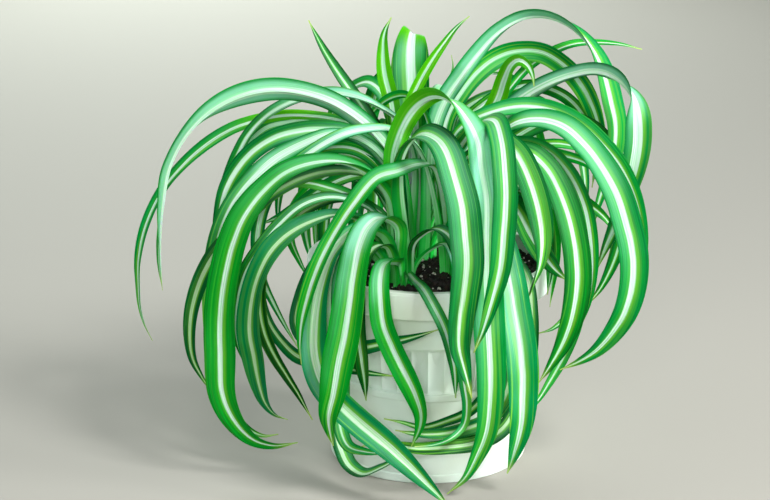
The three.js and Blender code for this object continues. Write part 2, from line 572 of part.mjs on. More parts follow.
function foldAt(share) {
  return THREE.MathUtils.degToRad(FOLD + (BASE_FOLD - FOLD) * (1 - smooth(0, FOLD_OPENS_BY, share)));
}

// A ring of a blade has its under side first, then its upper side.
const BLADE_CAP = [[0, 1, 4], [0, 4, 5], [1, 2, 3], [1, 3, 4]];
const BLADE_UPPER_FROM = 3;

// One blade: a folded ribbon along its midrib, thin, wider in the middle and pointed at the tip.
function bladeSolid({ crown, ring, width, rolls, points }, rootHeight) {
  const rib = midrib(crown, ring, rootHeight, points);
  const curve = new THREE.CatmullRomCurve3(rib.points, false, "centripetal");
  const segments = THREE.MathUtils.clamp(
    Math.round(curve.getLength() / SEGMENT_LENGTH), FEWEST_SEGMENTS, MOST_SEGMENTS,
  );
  const fine = curve.getSpacedPoints(segments * FINE_STEPS);
  const side = new THREE.Vector3(-rib.heading.y, rib.heading.x, 0);
  const rings = [];
  fine.forEach((centre, step) => {
    const before = fine[Math.max(step - 1, 0)];
    const after = fine[Math.min(step + 1, fine.length - 1)];
    const along = step ? after.clone().sub(before).normalize() : new THREE.Vector3(0, 0, 1);
    side.addScaledVector(along, -side.dot(along)).normalize();
    if (step % FINE_STEPS) return;
    const share = step / (fine.length - 1);
    const across = side.clone().applyAxisAngle(along, rollAt(rolls, share));
    const up = along.clone().cross(across);
    const fold = foldAt(share);
    const half = halfWidth(share, width);
    const thick = up.clone().multiplyScalar(-BLADE / Math.cos(fold));
    const margin = (way) => centre.clone()
      .addScaledVector(across, way * half * Math.cos(fold))
      .addScaledVector(up, half * Math.sin(fold));
    const upper = [margin(-1), centre.clone(), margin(1)];
    const under = upper.map((point) => point.clone().add(thick));
    rings.push([...under, ...upper.reverse()]);
  });
  return solidOf(loftGeometry(rings, BLADE_CAP, BLADE_UPPER_FROM));
}

const ALL_LEAVES = [
  ...LEAVES.map(([name, crown, ring, width, rolls, points]) => (
    { name, crown, ring, width, rolls, points: points.map(seen) }
  )),
  ...backLeaves(),
];
const isShort = ({ name }) => FUSED.includes(name) || FUSED_TIERS.some((tier) => name.startsWith(tier));
const SHORT_LEAVES = ALL_LEAVES.filter(isShort);
const LONG_LEAVES = ALL_LEAVES.filter((leaf) => !isShort(leaf));

// Pot, saucer, soil and rootstock

// A round piece from its profile of radius and height. A level may have a depth for its flutes.
function turned(profile, segments) {
  const rings = profile.map(([radius, z, flute = 0]) => Array.from({ length: segments }, (_, index) => {
    const turn = (index / segments) * 2 * Math.PI;
    const reach = radius - (index % 2) * flute;
    return new THREE.Vector3(reach * Math.cos(turn), reach * Math.sin(turn), z);
  }));
  return solidOf(loftGeometry(rings, fanCap(segments)));
}

function post(x, y, radius, bottom, top, segments) {
  const geometry = new THREE.CylinderGeometry(radius, radius, top - bottom, segments).rotateX(Math.PI / 2);
  return solidOf(geometry.translate(x, y, (bottom + top) / 2));
}

function saucerSolid() {
  const inner = SAUCER_TOP_RADIUS - SAUCER_WALL;
  return turned([
    [SAUCER_FOOT_RADIUS, 0],
    [SAUCER_FOOT_RADIUS, SAUCER_FOOT_TOP],
    [SAUCER_WALL_RADIUS, SAUCER_FOOT_TOP + EDGE],
    [SAUCER_TOP_RADIUS, SAUCER_TOP - EDGE],
    [SAUCER_TOP_RADIUS - EDGE, SAUCER_TOP],
    [inner, SAUCER_TOP],
    [SAUCER_WALL_RADIUS - SAUCER_WALL, SAUCER_FLOOR],
  ], SAUCER_SEGMENTS);
}

// The inside of the pot, which the soil fills: radius and height from the floor up to the lip.
const POT_INSIDE = [
  [POT_FOOT_RADIUS - POT_WALL, POT_BOTTOM + POT_FOOT_HEIGHT + POT_FLOOR],
  [UNDER_RING_RADIUS - POT_WALL, RING_BOTTOM],
  [BAND_RADIUS - POT_WALL, FLUTES_TOP],
  [RIM_NECK_RADIUS - POT_WALL, RIM_BOTTOM - POT_WALL],
  [RIM_RADIUS - RIM_LIP, RIM_BOTTOM + POT_WALL],
  [RIM_RADIUS - RIM_LIP, RIM_TOP],
];

function potSolid() {
  const underFloor = POT_BOTTOM + POT_FOOT_HEIGHT;
  const wall = turned([
    [POT_FOOT_RADIUS - POT_FOOT_WIDTH, underFloor],
    [POT_FOOT_RADIUS - POT_FOOT_WIDTH, POT_BOTTOM],
    [POT_FOOT_RADIUS, POT_BOTTOM],
    [UNDER_RING_RADIUS, RING_BOTTOM - EDGE],
    [RING_RADIUS, RING_BOTTOM],
    [RING_RADIUS, RING_TOP],
    [FLUTES_BOTTOM_RADIUS, RING_TOP + EDGE, FLUTE_DEPTH],
    [FLUTES_TOP_RADIUS, FLUTES_TOP - EDGE, FLUTE_DEPTH],
    [BAND_RADIUS, FLUTES_TOP + EDGE],
    [RIM_NECK_RADIUS, RIM_BOTTOM],
    [RIM_RADIUS, RIM_BOTTOM],
    [RIM_RADIUS, RIM_TOP - EDGE],
    [RIM_RADIUS - EDGE, RIM_TOP],
    ...[...POT_INSIDE].reverse(),
  ], ROUND_SEGMENTS);
  const holes = Array.from({ length: DRAIN_HOLES }, (_, index) => {
    const turn = (index / DRAIN_HOLES) * 2 * Math.PI;
    const [x, y] = [DRAIN_CIRCLE * Math.cos(turn), DRAIN_CIRCLE * Math.sin(turn)];
    return post(x, y, DRAIN_RADIUS, 0, RING_BOTTOM, DRAIN_SEGMENTS);
  });
  return wall.subtract(joined(holes));
}

function crownPosts(radius, bottom, top, segments) {
  return joined(Object.values(CROWNS).map(([x, y]) => post(x, y, radius, bottom, top, segments)));
}

function soilSolid() {
  const fill = POT_INSIDE.filter(([, z]) => z < SOIL_TOP).map(([radius, z]) => [radius - GAP, z]);
  fill[0][1] += GAP;
  const [lastRadius] = fill.at(-1);
  const whole = turned([...fill, [lastRadius, SOIL_TOP]], SOIL_SEGMENTS);
  return whole.subtract(crownPosts(CROWN_RADIUS + WELL_MARGIN, WELL_FLOOR, RIM_TOP, WELL_SEGMENTS));
}

function rootstockSolid() {
  const stock = crownPosts(CROWN_RADIUS, CROWN_BOTTOM, CROWN_TOP, CROWN_SEGMENTS);
  return joined([stock, ...SHORT_LEAVES.map((leaf) => bladeSolid(leaf, CROWN_TOP - ROOT_SUNK))]);
}

// The whole plant

const WHITE_PLASTIC = new THREE.MeshStandardMaterial({ color: 0xeeeeea, roughness: 0.5, metalness: 0 });
const SOIL = new THREE.MeshStandardMaterial({ color: 0x1d1815, roughness: 0.95, metalness: 0 });
const LEAF_GREEN = new THREE.MeshStandardMaterial({ color: 0x2f8f3c, roughness: 0.45, metalness: 0 });

const plant = new THREE.Group();

function addPiece(name, solid, material) {
  const mesh = new THREE.Mesh(geometryOf(solid), material);
  mesh.name = name;
  plant.add(mesh);
}

addPiece("saucer", saucerSolid(), WHITE_PLASTIC);
addPiece("pot", potSolid(), WHITE_PLASTIC);
addPiece("soil", soilSolid(), SOIL);
addPiece("rootstock", rootstockSolid(), LEAF_GREEN);
for (const leaf of LONG_LEAVES) {
  addPiece(leaf.name, bladeSolid(leaf, CROWN_TOP + GAP), LEAF_GREEN);
}

export default plant;
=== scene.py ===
"""The looks of a potted spider plant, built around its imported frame.

Sizes are in millimetres, in the frame's own axes: +Z up, +Y away from the front, and the origin at the
centre of the saucer's underside. MM turns them into Blender's metres where a mesh or an object is made.
"""

import math
import random
from functools import reduce

import bmesh
import bpy
import numpy as np
from mathutils import Matrix, Vector, noise


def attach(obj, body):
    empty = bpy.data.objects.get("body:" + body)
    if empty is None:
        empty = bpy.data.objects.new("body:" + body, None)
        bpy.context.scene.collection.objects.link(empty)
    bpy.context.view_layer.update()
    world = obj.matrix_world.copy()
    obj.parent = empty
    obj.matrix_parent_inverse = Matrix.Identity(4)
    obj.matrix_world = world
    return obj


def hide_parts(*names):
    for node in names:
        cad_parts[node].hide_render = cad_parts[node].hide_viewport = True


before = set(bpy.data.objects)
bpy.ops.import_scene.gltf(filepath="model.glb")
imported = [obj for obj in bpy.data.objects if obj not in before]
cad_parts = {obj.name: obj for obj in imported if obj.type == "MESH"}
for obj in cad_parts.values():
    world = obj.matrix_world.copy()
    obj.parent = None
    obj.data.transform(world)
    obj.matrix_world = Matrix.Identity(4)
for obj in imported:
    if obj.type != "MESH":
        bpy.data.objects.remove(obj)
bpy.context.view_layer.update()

MM = 0.001
UP = np.array([0.0, 0.0, 1.0])

# Pot and saucer, as the solids have them
SAUCER_TOP = 26
SAUCER_TOP_RADIUS = 61.8
SAUCER_FOOT_RADIUS = 61.3
SAUCER_FOOT_TOP = 5
SAUCER_WALL_RADIUS = 60.5
SAUCER_WALL = 1.9
SAUCER_FLOOR = 3
GAP = 0.3
POT_BOTTOM = SAUCER_FLOOR + GAP
POT_FOOT_RADIUS = 54.8
POT_FOOT_WIDTH = 3
POT_FOOT_HEIGHT = 2
POT_FLOOR = 3
POT_WALL = 2.6
RING_BOTTOM = 53
RING_TOP = 57.5
RING_RADIUS = 62
UNDER_RING_RADIUS = 60
FLUTES_TOP = 86.5
FLUTES_BOTTOM_RADIUS = 60.6
FLUTES_TOP_RADIUS = 63.4
FLUTE_DEPTH = 1.7
FLUTES = 40
BAND_RADIUS = 65
RIM_BOTTOM = 109
RIM_NECK_RADIUS = 67
RIM_RADIUS = 75
RIM_TOP = 126
RIM_LIP = 4.5
DRAIN_HOLES = 6
DRAIN_RADIUS = 3.5
DRAIN_CIRCLE = 34

# The fine line under the top edge of the rim
RIM_LINE = 1.6
RIM_LINE_DEPTH = 0.25

# Edges of moulded plastic are rounded to this radius where the profile gives no other.
EDGE = 0.5
EDGE_STEPS = 4
# Each flute is split this many times around.
FLUTE_STEPS = 12
# The share of a flute's pitch that its hollow takes. The rest is the ridge.
FLUTE_HOLLOW = 0.92
# The hollow's form: 0.5 is an ellipse, 1 a parabola.
FLUTE_ARC = 0.6
SAUCER_SEGMENTS = 240

# Soil
SOIL_TOP = 117
SOIL_RADIUS = RIM_RADIUS - RIM_LIP - GAP
SOIL_RINGS = 46
SOIL_SEGMENTS = 180
SOIL_BUMP = 1.3
CRUMBS = 1500
CRUMB_SIZES = (0.7, 2.3)
PERLITE_GRAINS = 420
PERLITE_SIZES = (0.4, 1.3)
SOIL_SEED = 11

# Rootstock: the three crowns, and where the roots of the leaves stand
CROWNS = {
    "front": (-15, -24),
    "right": (14, -6),
    "back": (-8, 18),
}
CROWN_RADIUS = 20
CROWN_BOTTOM = 112.3
CROWN_TOP = 114.5
ROOT_SUNK = 1.4

# How a blade follows its midrib, as the solids have it
TIP_HALF_WIDTH = 0.4
FULL_WIDTH_AT = 0.6
TAPER_FROM = 0.7
TAPER_POWER = 2
FOLD = 16
BASE_FOLD = 62
FOLD_OPENS_BY = 0.35
AIM_RADIUS = 22
RISE_SHARE = 0.45
SMALLEST_RISE = 6
LARGEST_RISE = 22
RISE_LEAN = 2
CURVE_DIVISIONS = 200

# The finer blade: its rings, its places across, and its thickness at the midrib and at the margins
RING_STEP = 2.5
ACROSS_STEPS = 12
RIB_THICKNESS = 0.75
MARGIN_THICKNESS = 0.22
KEEL = 0.3
KEEL_WIDTH = 0.08
CREASE = 0.12
BOW = 0.05

# The photograph's view: the points of the leaves are given across and up on the plane through the middle
# of the rim that faces the eye, and their true depth, +Y.
VIEW_TILT = math.radians(17.8)
VIEW_DISTANCE = 1354
PHOTO_WIDTH = 770
PHOTO_HEIGHT = 500
FOCAL_PIXELS = 2201
RIM_PIXEL = (428.9, 254.6)
SENSOR_WIDTH = 36
EYE = np.array([
    0.0,
    -VIEW_DISTANCE * math.cos(VIEW_TILT),
    RIM_TOP + VIEW_DISTANCE * math.sin(VIEW_TILT),
])

# Each leaf: its name, its crown, how far from the crown's centre its root stands, its width, the angles
# that the blade is rolled to, at even steps from root to tip, and the points of its midrib.
LEAVES = [
    ("far_left_arch", "back", 7, 16, [0, 45, 50, 0, -40], [
        (-22, 57, 1), (-36, 76, 1), (-60, 93, -2), (-85, 100, -4), (-103, 100, -5), (-121, 95, -6),
        (-138, 85, -8), (-151, 71, -10), (-160, 53, -12), (-164, 32, -14), (-166, 12, -15),
        (-166, -7, -16), (-164, -23, -16),
    ]),
    ("far_left_low_arch", "back", 13, 9, [0, -20, -40, -30, -25], [
        (-23, 50, 20), (-36, 73, 23), (-55, 82, 24), (-75, 85, 25), (-90, 85, 24), (-106, 82, 24),
        (-121, 77, 24), (-136, 68, 21), (-150, 56, 20), (-162, 42, 18), (-170, 28, 17), (-176, 12, 16),
        (-179, -5, 15), (-179, -18, 14), (-178, -33, 13), (-175, -44, 12), (-170, -54, 11),
    ]),
    ("left_over_arch", "back", 3, 12, [0, -15, -35, -55, -60], [
        (-10, 62, 9), (-18, 81, 8), (-32, 91, 7), (-46, 97, 6), (-60, 99, 7), (-74, 97, 9),
        (-88, 92, 10), (-101, 84, 11), (-111, 73, 11), (-118, 60, 10), (-124, 45, 11), (-129, 28, 9),
        (-132, 12, 7), (-131, -4, 6),
    ]),
    ("left_thin_arch", "back", 17, 8, [0, -20, -40, -55, -55], [
        (-26, 54, 29), (-38, 73, 31), (-55, 80, 32), (-72, 83, 33), (-88, 81, 34), (-100, 78, 34),
        (-109, 71, 33), (-116, 61, 32), (-121, 50, 30), (-124, 36, 28),
    ]),
    ("left_striped_arch", "front", 12, 11, [0, -12, -40, -60, -60], [
        (-22, 45, -12), (-35, 66, -12), (-50, 75, -12), (-65, 77, -12), (-80, 76, -12), (-95, 72, -13),
        (-108, 64, -14), (-118, 53, -15), (-125, 40, -16), (-129, 25, -17), (-131, 10, -18),
        (-130, -6, -19),
    ]),
    ("left_broad_arch", "front", 8, 14, [0, -8, -40, -65, -65], [
        (-22, 42, -19), (-33, 63, -19), (-48, 72, -19), (-62, 73, -20), (-78, 67, -20), (-93, 59, -22),
        (-106, 48, -27), (-117, 35, -30), (-125, 20, -33), (-130, 2, -36), (-132, -20, -38),
        (-131, -50, -40), (-128, -75, -41), (-122, -95, -42), (-112, -107, -43), (-101, -112, -43),
        (-92, -111, -42),
    ]),
    ("left_long_hanging", "front", 7, 19, [0, -5, -45, -72, -65], [
        (-25, 34, -28.5), (-36, 48, -33), (-52, 56, -38), (-70, 56, -44), (-88, 50, -48),
        (-102, 38, -51), (-113, 24, -55), (-120, 8, -58), (-125, -12, -60), (-128, -35, -61),
        (-128, -60, -62), (-127, -85, -62), (-121, -100, -61), (-112, -111, -60), (-104, -116, -58),
        (-94, -118, -56), (-80, -116, -54),
    ]),
    ("left_dark_hanging", "front", 10, 10, [0, -15, -40, -55, -55], [
        (-28, 40, -21), (-44, 50, -25), (-68, 50, -35), (-92, 40, -40), (-110, 25, -40), (-123, 10, -44),
        (-133, -2, -47), (-141, -18, -49), (-146, -36, -51), (-147, -52, -52), (-145, -65, -52),
        (-140, -75, -52), (-133, -86, -51),
    ]),
    ("left_pale_arch", "right", 9, 9, [0, -15, -35, -60, -65], [
        (-4, 60, -13), (-14, 73, -18), (-25, 77, -22), (-38, 77, -25), (-52, 74, -29), (-66, 67, -31),
        (-80, 57, -32), (-92, 45, -31), (-101, 30, -29), (-105, 14, -28), (-105, -2, -28),
        (-102, -16, -28), (-95, -31, -29), (-87, -46, -31), (-80, -58, -33),
    ]),
    ("left_front_drooping", "front", 13, 16, [0, -10, -40, -55, -55], [
        (-26, 8, -31), (-38, 19, -37), (-55, 24, -43), (-72, 20, -47), (-88, 11, -51), (-98, 0, -54),
        (-105, -14, -56), (-109, -30, -57), (-110, -48, -57), (-107, -65, -56), (-104, -80, -54),
        (-100, -92, -51), (-94, -99, -48), (-86, -102, -46),
    ]),
    ("left_dark_edge", "front", 13, 9, [0, -20, -40, -50, -50], [
        (-31, 22, -27), (-45, 32, -30), (-62, 35, -32), (-78, 30, -36), (-92, 18, -40), (-104, 3, -44),
        (-113, -12, -46), (-118, -32, -47), (-118, -52, -47), (-113, -69, -46),
    ]),
    ("front_left_diagonal", "right", 8, 14, [0, -20, -20], [
        (3, 53, -27), (-8, 55, -44), (-20, 51, -54), (-32, 47, -55), (-45, 32, -61), (-58, 12, -67),
        (-68, -8, -75), (-74, -25, -79), (-78, -42, -82), (-79, -56, -83), (-78, -68, -83),
    ]),
    ("low_left_diagonal", "front", 16, 17, [0, -25, -55, -60, -60], [
        (-30, 12, -42), (-44, 14, -50), (-58, 2, -57), (-66, -18, -63), (-70, -42, -70), (-70, -60, -76),
        (-65, -78, -81), (-55, -91, -86), (-42, -103, -92), (-24, -118, -98), (-8, -133, -102),
        (8, -149, -104), (14, -156, -105),
    ]),
    ("front_left_wide", "front", 12, 20, [0, -5, -10], [
        (-21, 17, -36), (-30, 22, -45), (-38, 16, -58), (-43, 4, -70), (-46, -12, -78), (-48, -28, -84),
        (-51, -48, -88), (-55, -68, -91), (-58, -86, -94), (-61, -100, -94), (-60, -110, -90),
        (-58, -118, -88),
    ]),
    ("front_left_dark", "front", 18, 13, [0, 0, 0], [
        (-27, 5, -45), (-36, 2, -57), (-42, -12, -65), (-43, -30, -69), (-43, -48, -74), (-41, -64, -78),
        (-39, -78, -78), (-38, -90, -77),
    ]),
    ("front_low_curl", "front", 14, 14, [0, 0, 0, 40], [
        (-18, -7, -40), (-20, -5, -49), (-27, -6, -59), (-30, -14, -72), (-30, -26, -80),
        (-28, -42, -83), (-22, -57, -84), (-14, -73, -86), (-7, -88, -87), (-4, -99, -87),
        (-5, -107, -87), (-10, -118, -86),
    ]),
    ("front_rim_diagonal", "front", 15, 8, [0, 10, 20], [
        (-13, -12, -46), (-9, -16, -60), (-3, -22, -76), (3, -32, -82), (9, -44, -83), (13, -56, -82),
        (16, -70, -79), (17, -88, -76),
    ]),
    ("front_small_arch", "front", 15, 9, [0, 10, 20], [
        (-9, 6, -38), (-3, 13, -46), (4, 16, -56), (11, 13, -66), (15, 7, -74), (18, -4, -80),
        (19, -15, -83),
    ]),
    ("front_centre_hanging", "front", 9, 20, [0, 40, 28, 22, 20], [
        (-17, 43, -32), (-16, 60, -37), (-11, 70, -43), (-4, 74, -50), (4, 71, -58), (10, 63, -68),
        (15, 48, -78), (20, 30, -86), (22, 12, -90), (23, -6, -94), (21, -24, -96), (19, -42, -95),
        (19, -57, -94), (22, -69, -93), (25, -80, -92), (27, -88, -91),
    ]),
    ("front_tall_arch", "front", 2, 19, [0, -40, 35, 50, 55], [
        (-21, 42, -29), (-22, 60, -30), (-16, 79, -32), (-8, 91, -36), (2, 97, -42), (12, 95, -49),
        (21, 85, -57), (29, 70, -60), (32, 52, -66), (35, 32, -74), (35, 12, -78), (35, -10, -81),
        (36, -30, -83), (37, -50, -87), (38, -70, -88), (38, -90, -88), (36, -108, -87), (30, -124, -85),
        (23, -137, -83), (12, -147, -80),
    ]),
    ("front_right_inner", "right", 10, 14, [0, 0, 20, 20, 20], [
        (12, 50, -14), (22, 71, -24), (32, 82, -36), (40, 82, -49), (44, 71, -63), (46, 53, -76),
        (47, 33, -86), (46, 12, -93), (44, -8, -98), (39, -28, -101), (34, -45, -102), (28, -60, -101),
    ]),
    ("front_right_pale", "right", 16, 19, [0, 15, 38, 40, 45], [
        (15, 12, -26), (24, 26, -40), (34, 24, -51), (43, 10, -63), (49, -12, -71), (53, -35, -76),
        (57, -60, -82), (58, -85, -83), (57, -105, -82), (53, -122, -80), (49, -134, -77),
    ]),
    ("right_folded", "right", 15.5, 16, [0, 10, 40, 50, -20], [
        (16, 50, -26), (30, 66, -30), (42, 71, -39), (52, 64, -47), (60, 50, -56), (66, 32, -62),
        (69, 12, -66), (68, -5, -69), (64, -18, -70), (60, -30, -72),
    ]),
    ("right_low_striped", "right", 17, 17, [0, 15, 50], [
        (28, 34, -14), (40, 36, -21), (52, 30, -27), (62, 13, -33), (70, 1, -37), (77, -8, -40),
        (85, -15, -43),
    ]),
    ("right_broad_hanging", "right", 13, 17, [0, 10, 42, 60, 60], [
        (24, 45, -15), (36, 60, -25), (50, 65, -31), (62, 62, -38), (72, 53, -40), (80, 39, -46),
        (86, 22, -51), (90, 2, -55), (91, -18, -58), (88, -38, -60), (82, -55, -60), (74, -69, -59),
        (68, -78, -57),
    ]),
    ("right_dark_edge", "right", 11, 10, [0, 10, 40, 60, 60], [
        (26, 50, -4), (42, 66, -9), (58, 69, -14), (72, 64, -20), (86, 50, -27), (95, 31, -33),
        (99, 11, -38), (100, -10, -41), (98, -28, -43), (93, -45, -44),
    ]),
    ("right_upper_arch", "right", 2, 12, [0, 10, 40, 60, 65], [
        (12, 50, -2), (12, 64, -2), (17, 75, -3), (25, 82, -4), (36, 87, -6), (52, 91, -7), (66, 91, -9),
        (80, 87, -14), (94, 79, -19), (106, 68, -24), (117, 54, -29), (125, 38, -32), (130, 20, -35),
        (132, 2, -36), (130, -14, -37),
    ]),
    ("right_long_hanging", "right", 8, 18, [0, 10, 40, 62, 70], [
        (24, 54, -8), (40, 71, -14), (54, 81, -21), (68, 83, -23), (82, 79, -28), (95, 68, -32),
        (106, 54, -34), (115, 38, -38), (121, 20, -41), (125, 2, -44), (125, -16, -46), (121, -33, -47),
        (113, -47, -46), (103, -58, -44), (92, -65, -42), (81, -70, -40),
    ]),
    ("right_pale_arch", "right", 8, 16, [0, -50, -75, -75, -70, 50, 75, 70], [
        (25, 62, 4), (36, 76, 2), (48, 88, 2), (60, 98, 0), (74, 106, -4), (88, 111, -6), (102, 113, -8),
        (114, 109, -10), (123, 100, -12), (127, 87, -14), (128, 72, -16), (126, 56, -18), (121, 38, -20),
        (115, 20, -21), (108, 4, -21), (103, -9, -20),
    ]),
    ("right_tail", "right", 12, 12, [0, 15, 40, 60, 60], [
        (30, 50, 20), (55, 74, 24), (80, 84, 24), (100, 78, 23), (113, 62, 21), (119, 40, 19),
        (119, 18, 16), (114, -2, 13), (106, -19, 11), (97, -31, 10),
    ]),
    ("tall_right_arch", "back", 9, 16, [0, -60, -20, 65, 75], [
        (2, 72, 8), (8, 92, 10), (18, 108, 12), (30, 124, 14), (42, 137, 15), (55, 145, 16),
        (67, 147, 16), (80, 144, 16), (92, 136, 15), (101, 124, 14), (107, 110, 13), (111, 95, 12),
        (114, 80, 10), (113, 64, 9), (108, 47, 10), (103, 30, 11), (99, 14, 11),
    ]),
    ("second_right_arch", "right", 6, 13, [0, -55, -5, 20, 30], [
        (10, 80, 16), (20, 101, 20), (32, 115, 22), (44, 123, 24), (56, 126, 25), (69, 125, 26),
        (81, 118, 26), (91, 108, 25), (99, 94, 30), (104, 79, 30), (107, 62, 30), (106, 46, 29),
    ]),
    ("right_back_arch", "right", 18, 9, [0, 40, 50], [
        (21, 80, 32), (34, 94, 34), (47, 101, 38), (60, 105, 38), (73, 103, 38), (85, 97, 36),
        (94, 87, 35), (100, 73, 34), (102, 58, 33), (100, 42, 32),
    ]),
    ("right_curled", "right", 5, 11, [0, 20, 10, -40], [
        (25, 68, 18), (35, 84, 14), (42, 96, 10), (46, 108, 8), (50, 117, 0), (55, 120, -5),
        (60, 117, -8), (63, 111, -9), (64, 104, -9),
    ]),
    ("right_back_thin", "back", 12, 8, [0, 40, 60], [
        (11, 70, 32), (20, 88, 41), (32, 96, 42), (46, 99, 44), (60, 97, 46), (72, 91, 47), (83, 81, 48),
        (91, 68, 48), (95, 52, 47), (96, 35, 46), (95, 18, 39),
    ]),
    ("right_pointed", "right", 9.5, 7, [0, -20, -20], [
        (23, 62, 21), (34, 82, 26), (48, 101, 30), (60, 115, 32), (73, 124, 33), (88, 130, 33),
        (103, 131, 33), (117, 130, 32), (130, 127, 31),
    ]),
    ("back_small_tip", "right", 14, 6, [0, 40, 60], [
        (9, 80, 23), (11, 105, 26), (14, 116, 28), (13, 123, 29),
    ]),
    ("back_small_blade", "right", 14, 6, [0, -60, -60], [
        (14, 75, 28), (19, 92, 28), (21, 106, 29),
    ]),
    ("upright_thin", "front", 5, 7, [0, 30, 40], [
        (-19, 66, -4), (-16, 85, -3), (-10, 99, -3), (-4, 111, -4), (2, 121, -5), (9, 131, -6),
        (16, 140, -7), (24, 147, -8),
    ]),
    ("upright_channel", "back", 6, 24, [0, -20, -20, 20], [
        (-10, 75, 29), (-11, 100, 34), (-12, 118, 39), (-12, 129, 45), (-11, 136, 53), (-10, 134, 61),
        (-9, 128, 66),
    ]),
    ("upright_blade", "back", 7, 10, [0, -60, -70], [
        (-21, 74, 19), (-24, 95, 24), (-28, 112, 26), (-29, 126, 28), (-28, 137, 30), (-24, 146, 31),
    ]),
    ("up_left_pointed", "back", 11, 8, [0, -70, -70], [
        (-28, 68, 13), (-37, 84, 12), (-46, 97, 15), (-56, 111, 16), (-65, 125, 16), (-71, 136, 17),
        (-75, 144, 17),
    ]),
    ("back_left_arch", "back", 12, 10, [0, -30, -60, -70], [
        (-24, 85, 33), (-30, 100, 38), (-38, 106, 46), (-47, 103, 53), (-54, 96, 58), (-60, 86, 61),
        (-64, 74, 64), (-67, 58, 69), (-69, 38, 75), (-70, 14, 80), (-68, -10, 82),
    ]),
    ("back_pale_arch", "right", 9, 7, [0, 45, 45], [
        (1, 75, -3), (-5, 91, 1), (-14, 98, 8), (-23, 97, 15), (-31, 92, 20), (-37, 85, 25),
        (-42, 76, 30),
    ]),
    ("back_teal_arch", "back", 10, 12, [0, 30, 30], [
        (-13, 92, 44), (-16, 106, 52), (-22, 112, 62), (-28, 109, 72), (-33, 100, 80), (-36, 88, 87),
        (-39, 72, 95), (-42, 50, 104), (-44, 22, 111), (-44, -6, 114),
    ]),
    ("front_hooked", "front", 15, 6, [0, 20, 20, 60], [
        (2, 4, -46), (11, 6, -58), (17, -8, -72), (20, -32, -84), (20, -58, -87), (22, -78, -87),
        (24, -92, -86), (22, -105, -85), (14, -113, -89), (3, -117, -88), (-8, -118, -89),
    ]),
    ("saucer_sweep_upper", "right", 19, 7, [0, 20, 40, 60], [
        (24, 8, -50), (34, 4, -62), (39, -14, -71), (40, -40, -74), (39, -65, -74), (35, -85, -73),
        (25, -96, -71), (12, -102, -71), (-3, -106, -72), (-16, -103, -72), (-27, -101, -73),
    ]),
    ("saucer_sweep_middle", "right", 19, 11, [0, 20, 40, 60], [
        (30, 14, -44), (44, 8, -56), (52, -12, -64), (54, -40, -67), (52, -65, -68), (47, -87, -69),
        (36, -101, -71), (22, -107, -75), (6, -110, -77), (-8, -110, -77), (-20, -108, -76),
    ]),
    ("saucer_sweep_lower", "right", 19, 10, [0, 20, 40, 60], [
        (36, 10, -38), (50, 0, -48), (60, -14, -54), (63, -35, -57), (62, -62, -58), (56, -88, -60),
        (46, -106, -66), (30, -115, -76), (12, -118, -83), (-6, -119, -84), (-22, -117, -82),
        (-34, -116, -80), (-42, -119, -78),
    ]),
    ("pot_sweep_upper", "front", 16, 9, [0, -20, -40, -60], [
        (-34, 12, -30), (-54, 10, -37), (-70, -6, -45), (-79, -28, -50), (-81, -43, -54),
        (-75, -53, -58), (-62, -58, -62), (-45, -58, -67), (-28, -55, -73), (-10, -51, -78),
        (6, -46, -80),
    ]),
    ("pot_sweep_lower", "front", 14, 9, [0, -20, -40, -60], [
        (-40, 30, -16), (-68, 32, -15), (-90, 15, -17), (-101, -5, -19), (-103, -25, -22),
        (-98, -42, -29), (-89, -55, -38), (-80, -63, -46), (-68, -66, -53), (-52, -70, -60),
        (-36, -73, -66), (-19, -75, -70),
    ]),
    ("left_lower_dark", "front", 18, 9, [0, -45, -50], [
        (-38, 30, -22), (-58, 34, -24), (-76, 27, -27), (-92, 12, -30), (-102, -8, -34),
        (-104, -30, -38), (-101, -48, -42), (-95, -62, -45), (-87, -75, -48), (-80, -86, -50),
        (-75, -95, -49), (-71, -102, -50),
    ]),
    ("saucer_fold_upper", "front", 18, 11, [0, -20, -60, -30], [
        (-40, 8, -42), (-48, 3, -51), (-54, -14, -59), (-54.5, -40, -68), (-54, -66, -71),
        (-54, -90, -75), (-54, -106, -81), (-49, -118, -86), (-38, -121.5, -91), (-24, -122.5, -93),
    ]),
    ("saucer_fold_lower", "front", 19, 15, [0, -20, -45, -95, -60], [
        (-44, 4, -38), (-53, -2, -46), (-60.5, -20, -56), (-61, -45, -64), (-61, -72, -67),
        (-58, -98, -69), (-55, -117, -72), (-49, -130, -78), (-40, -135.5, -84), (-29, -131.5, -88),
        (-19, -126, -90), (-12, -123, -89),
    ]),
    ("left_inner_pale", "front", 10, 8, [0, -45, -50], [
        (-24, 44, -4), (-34, 58, -4), (-46, 65, -4), (-59, 66, -5), (-72, 62, -6), (-84, 54, -8),
        (-95, 43, -12), (-104, 29, -16),
    ]),
    ("left_inner_dark", "front", 14, 8, [0, -45, -50], [
        (-28, 50, -5), (-42, 59, -3), (-57, 62, -2), (-72, 59, -1), (-86, 50, -1), (-98, 38, -2),
        (-106, 24, -4),
    ]),
    ("left_gap_arch", "front", 18, 7, [0, -45, -50], [
        (-27, 22, -9), (-39, 31, -8), (-50, 37, -8), (-62, 41, -8), (-75, 44, -8), (-88, 43, -8),
        (-97, 36, -9), (-103, 26, -10),
    ]),
    ("left_back_dark", "back", 16, 9, [0, -50, -60], [
        (-28, 42, 16), (-38, 49, 16), (-52, 47, 18), (-66, 40, 20), (-80, 30, 21), (-92, 23, 22),
        (-104, 18, 23),
    ]),
    ("back_left_hanging", "back", 18, 9, [0, -60, -70], [
        (-25, 50, 38), (-45, 66, 47), (-62, 65, 48), (-73, 52, 48), (-77, 32, 50), (-75, 8, 51),
        (-70, -10, 51),
    ]),
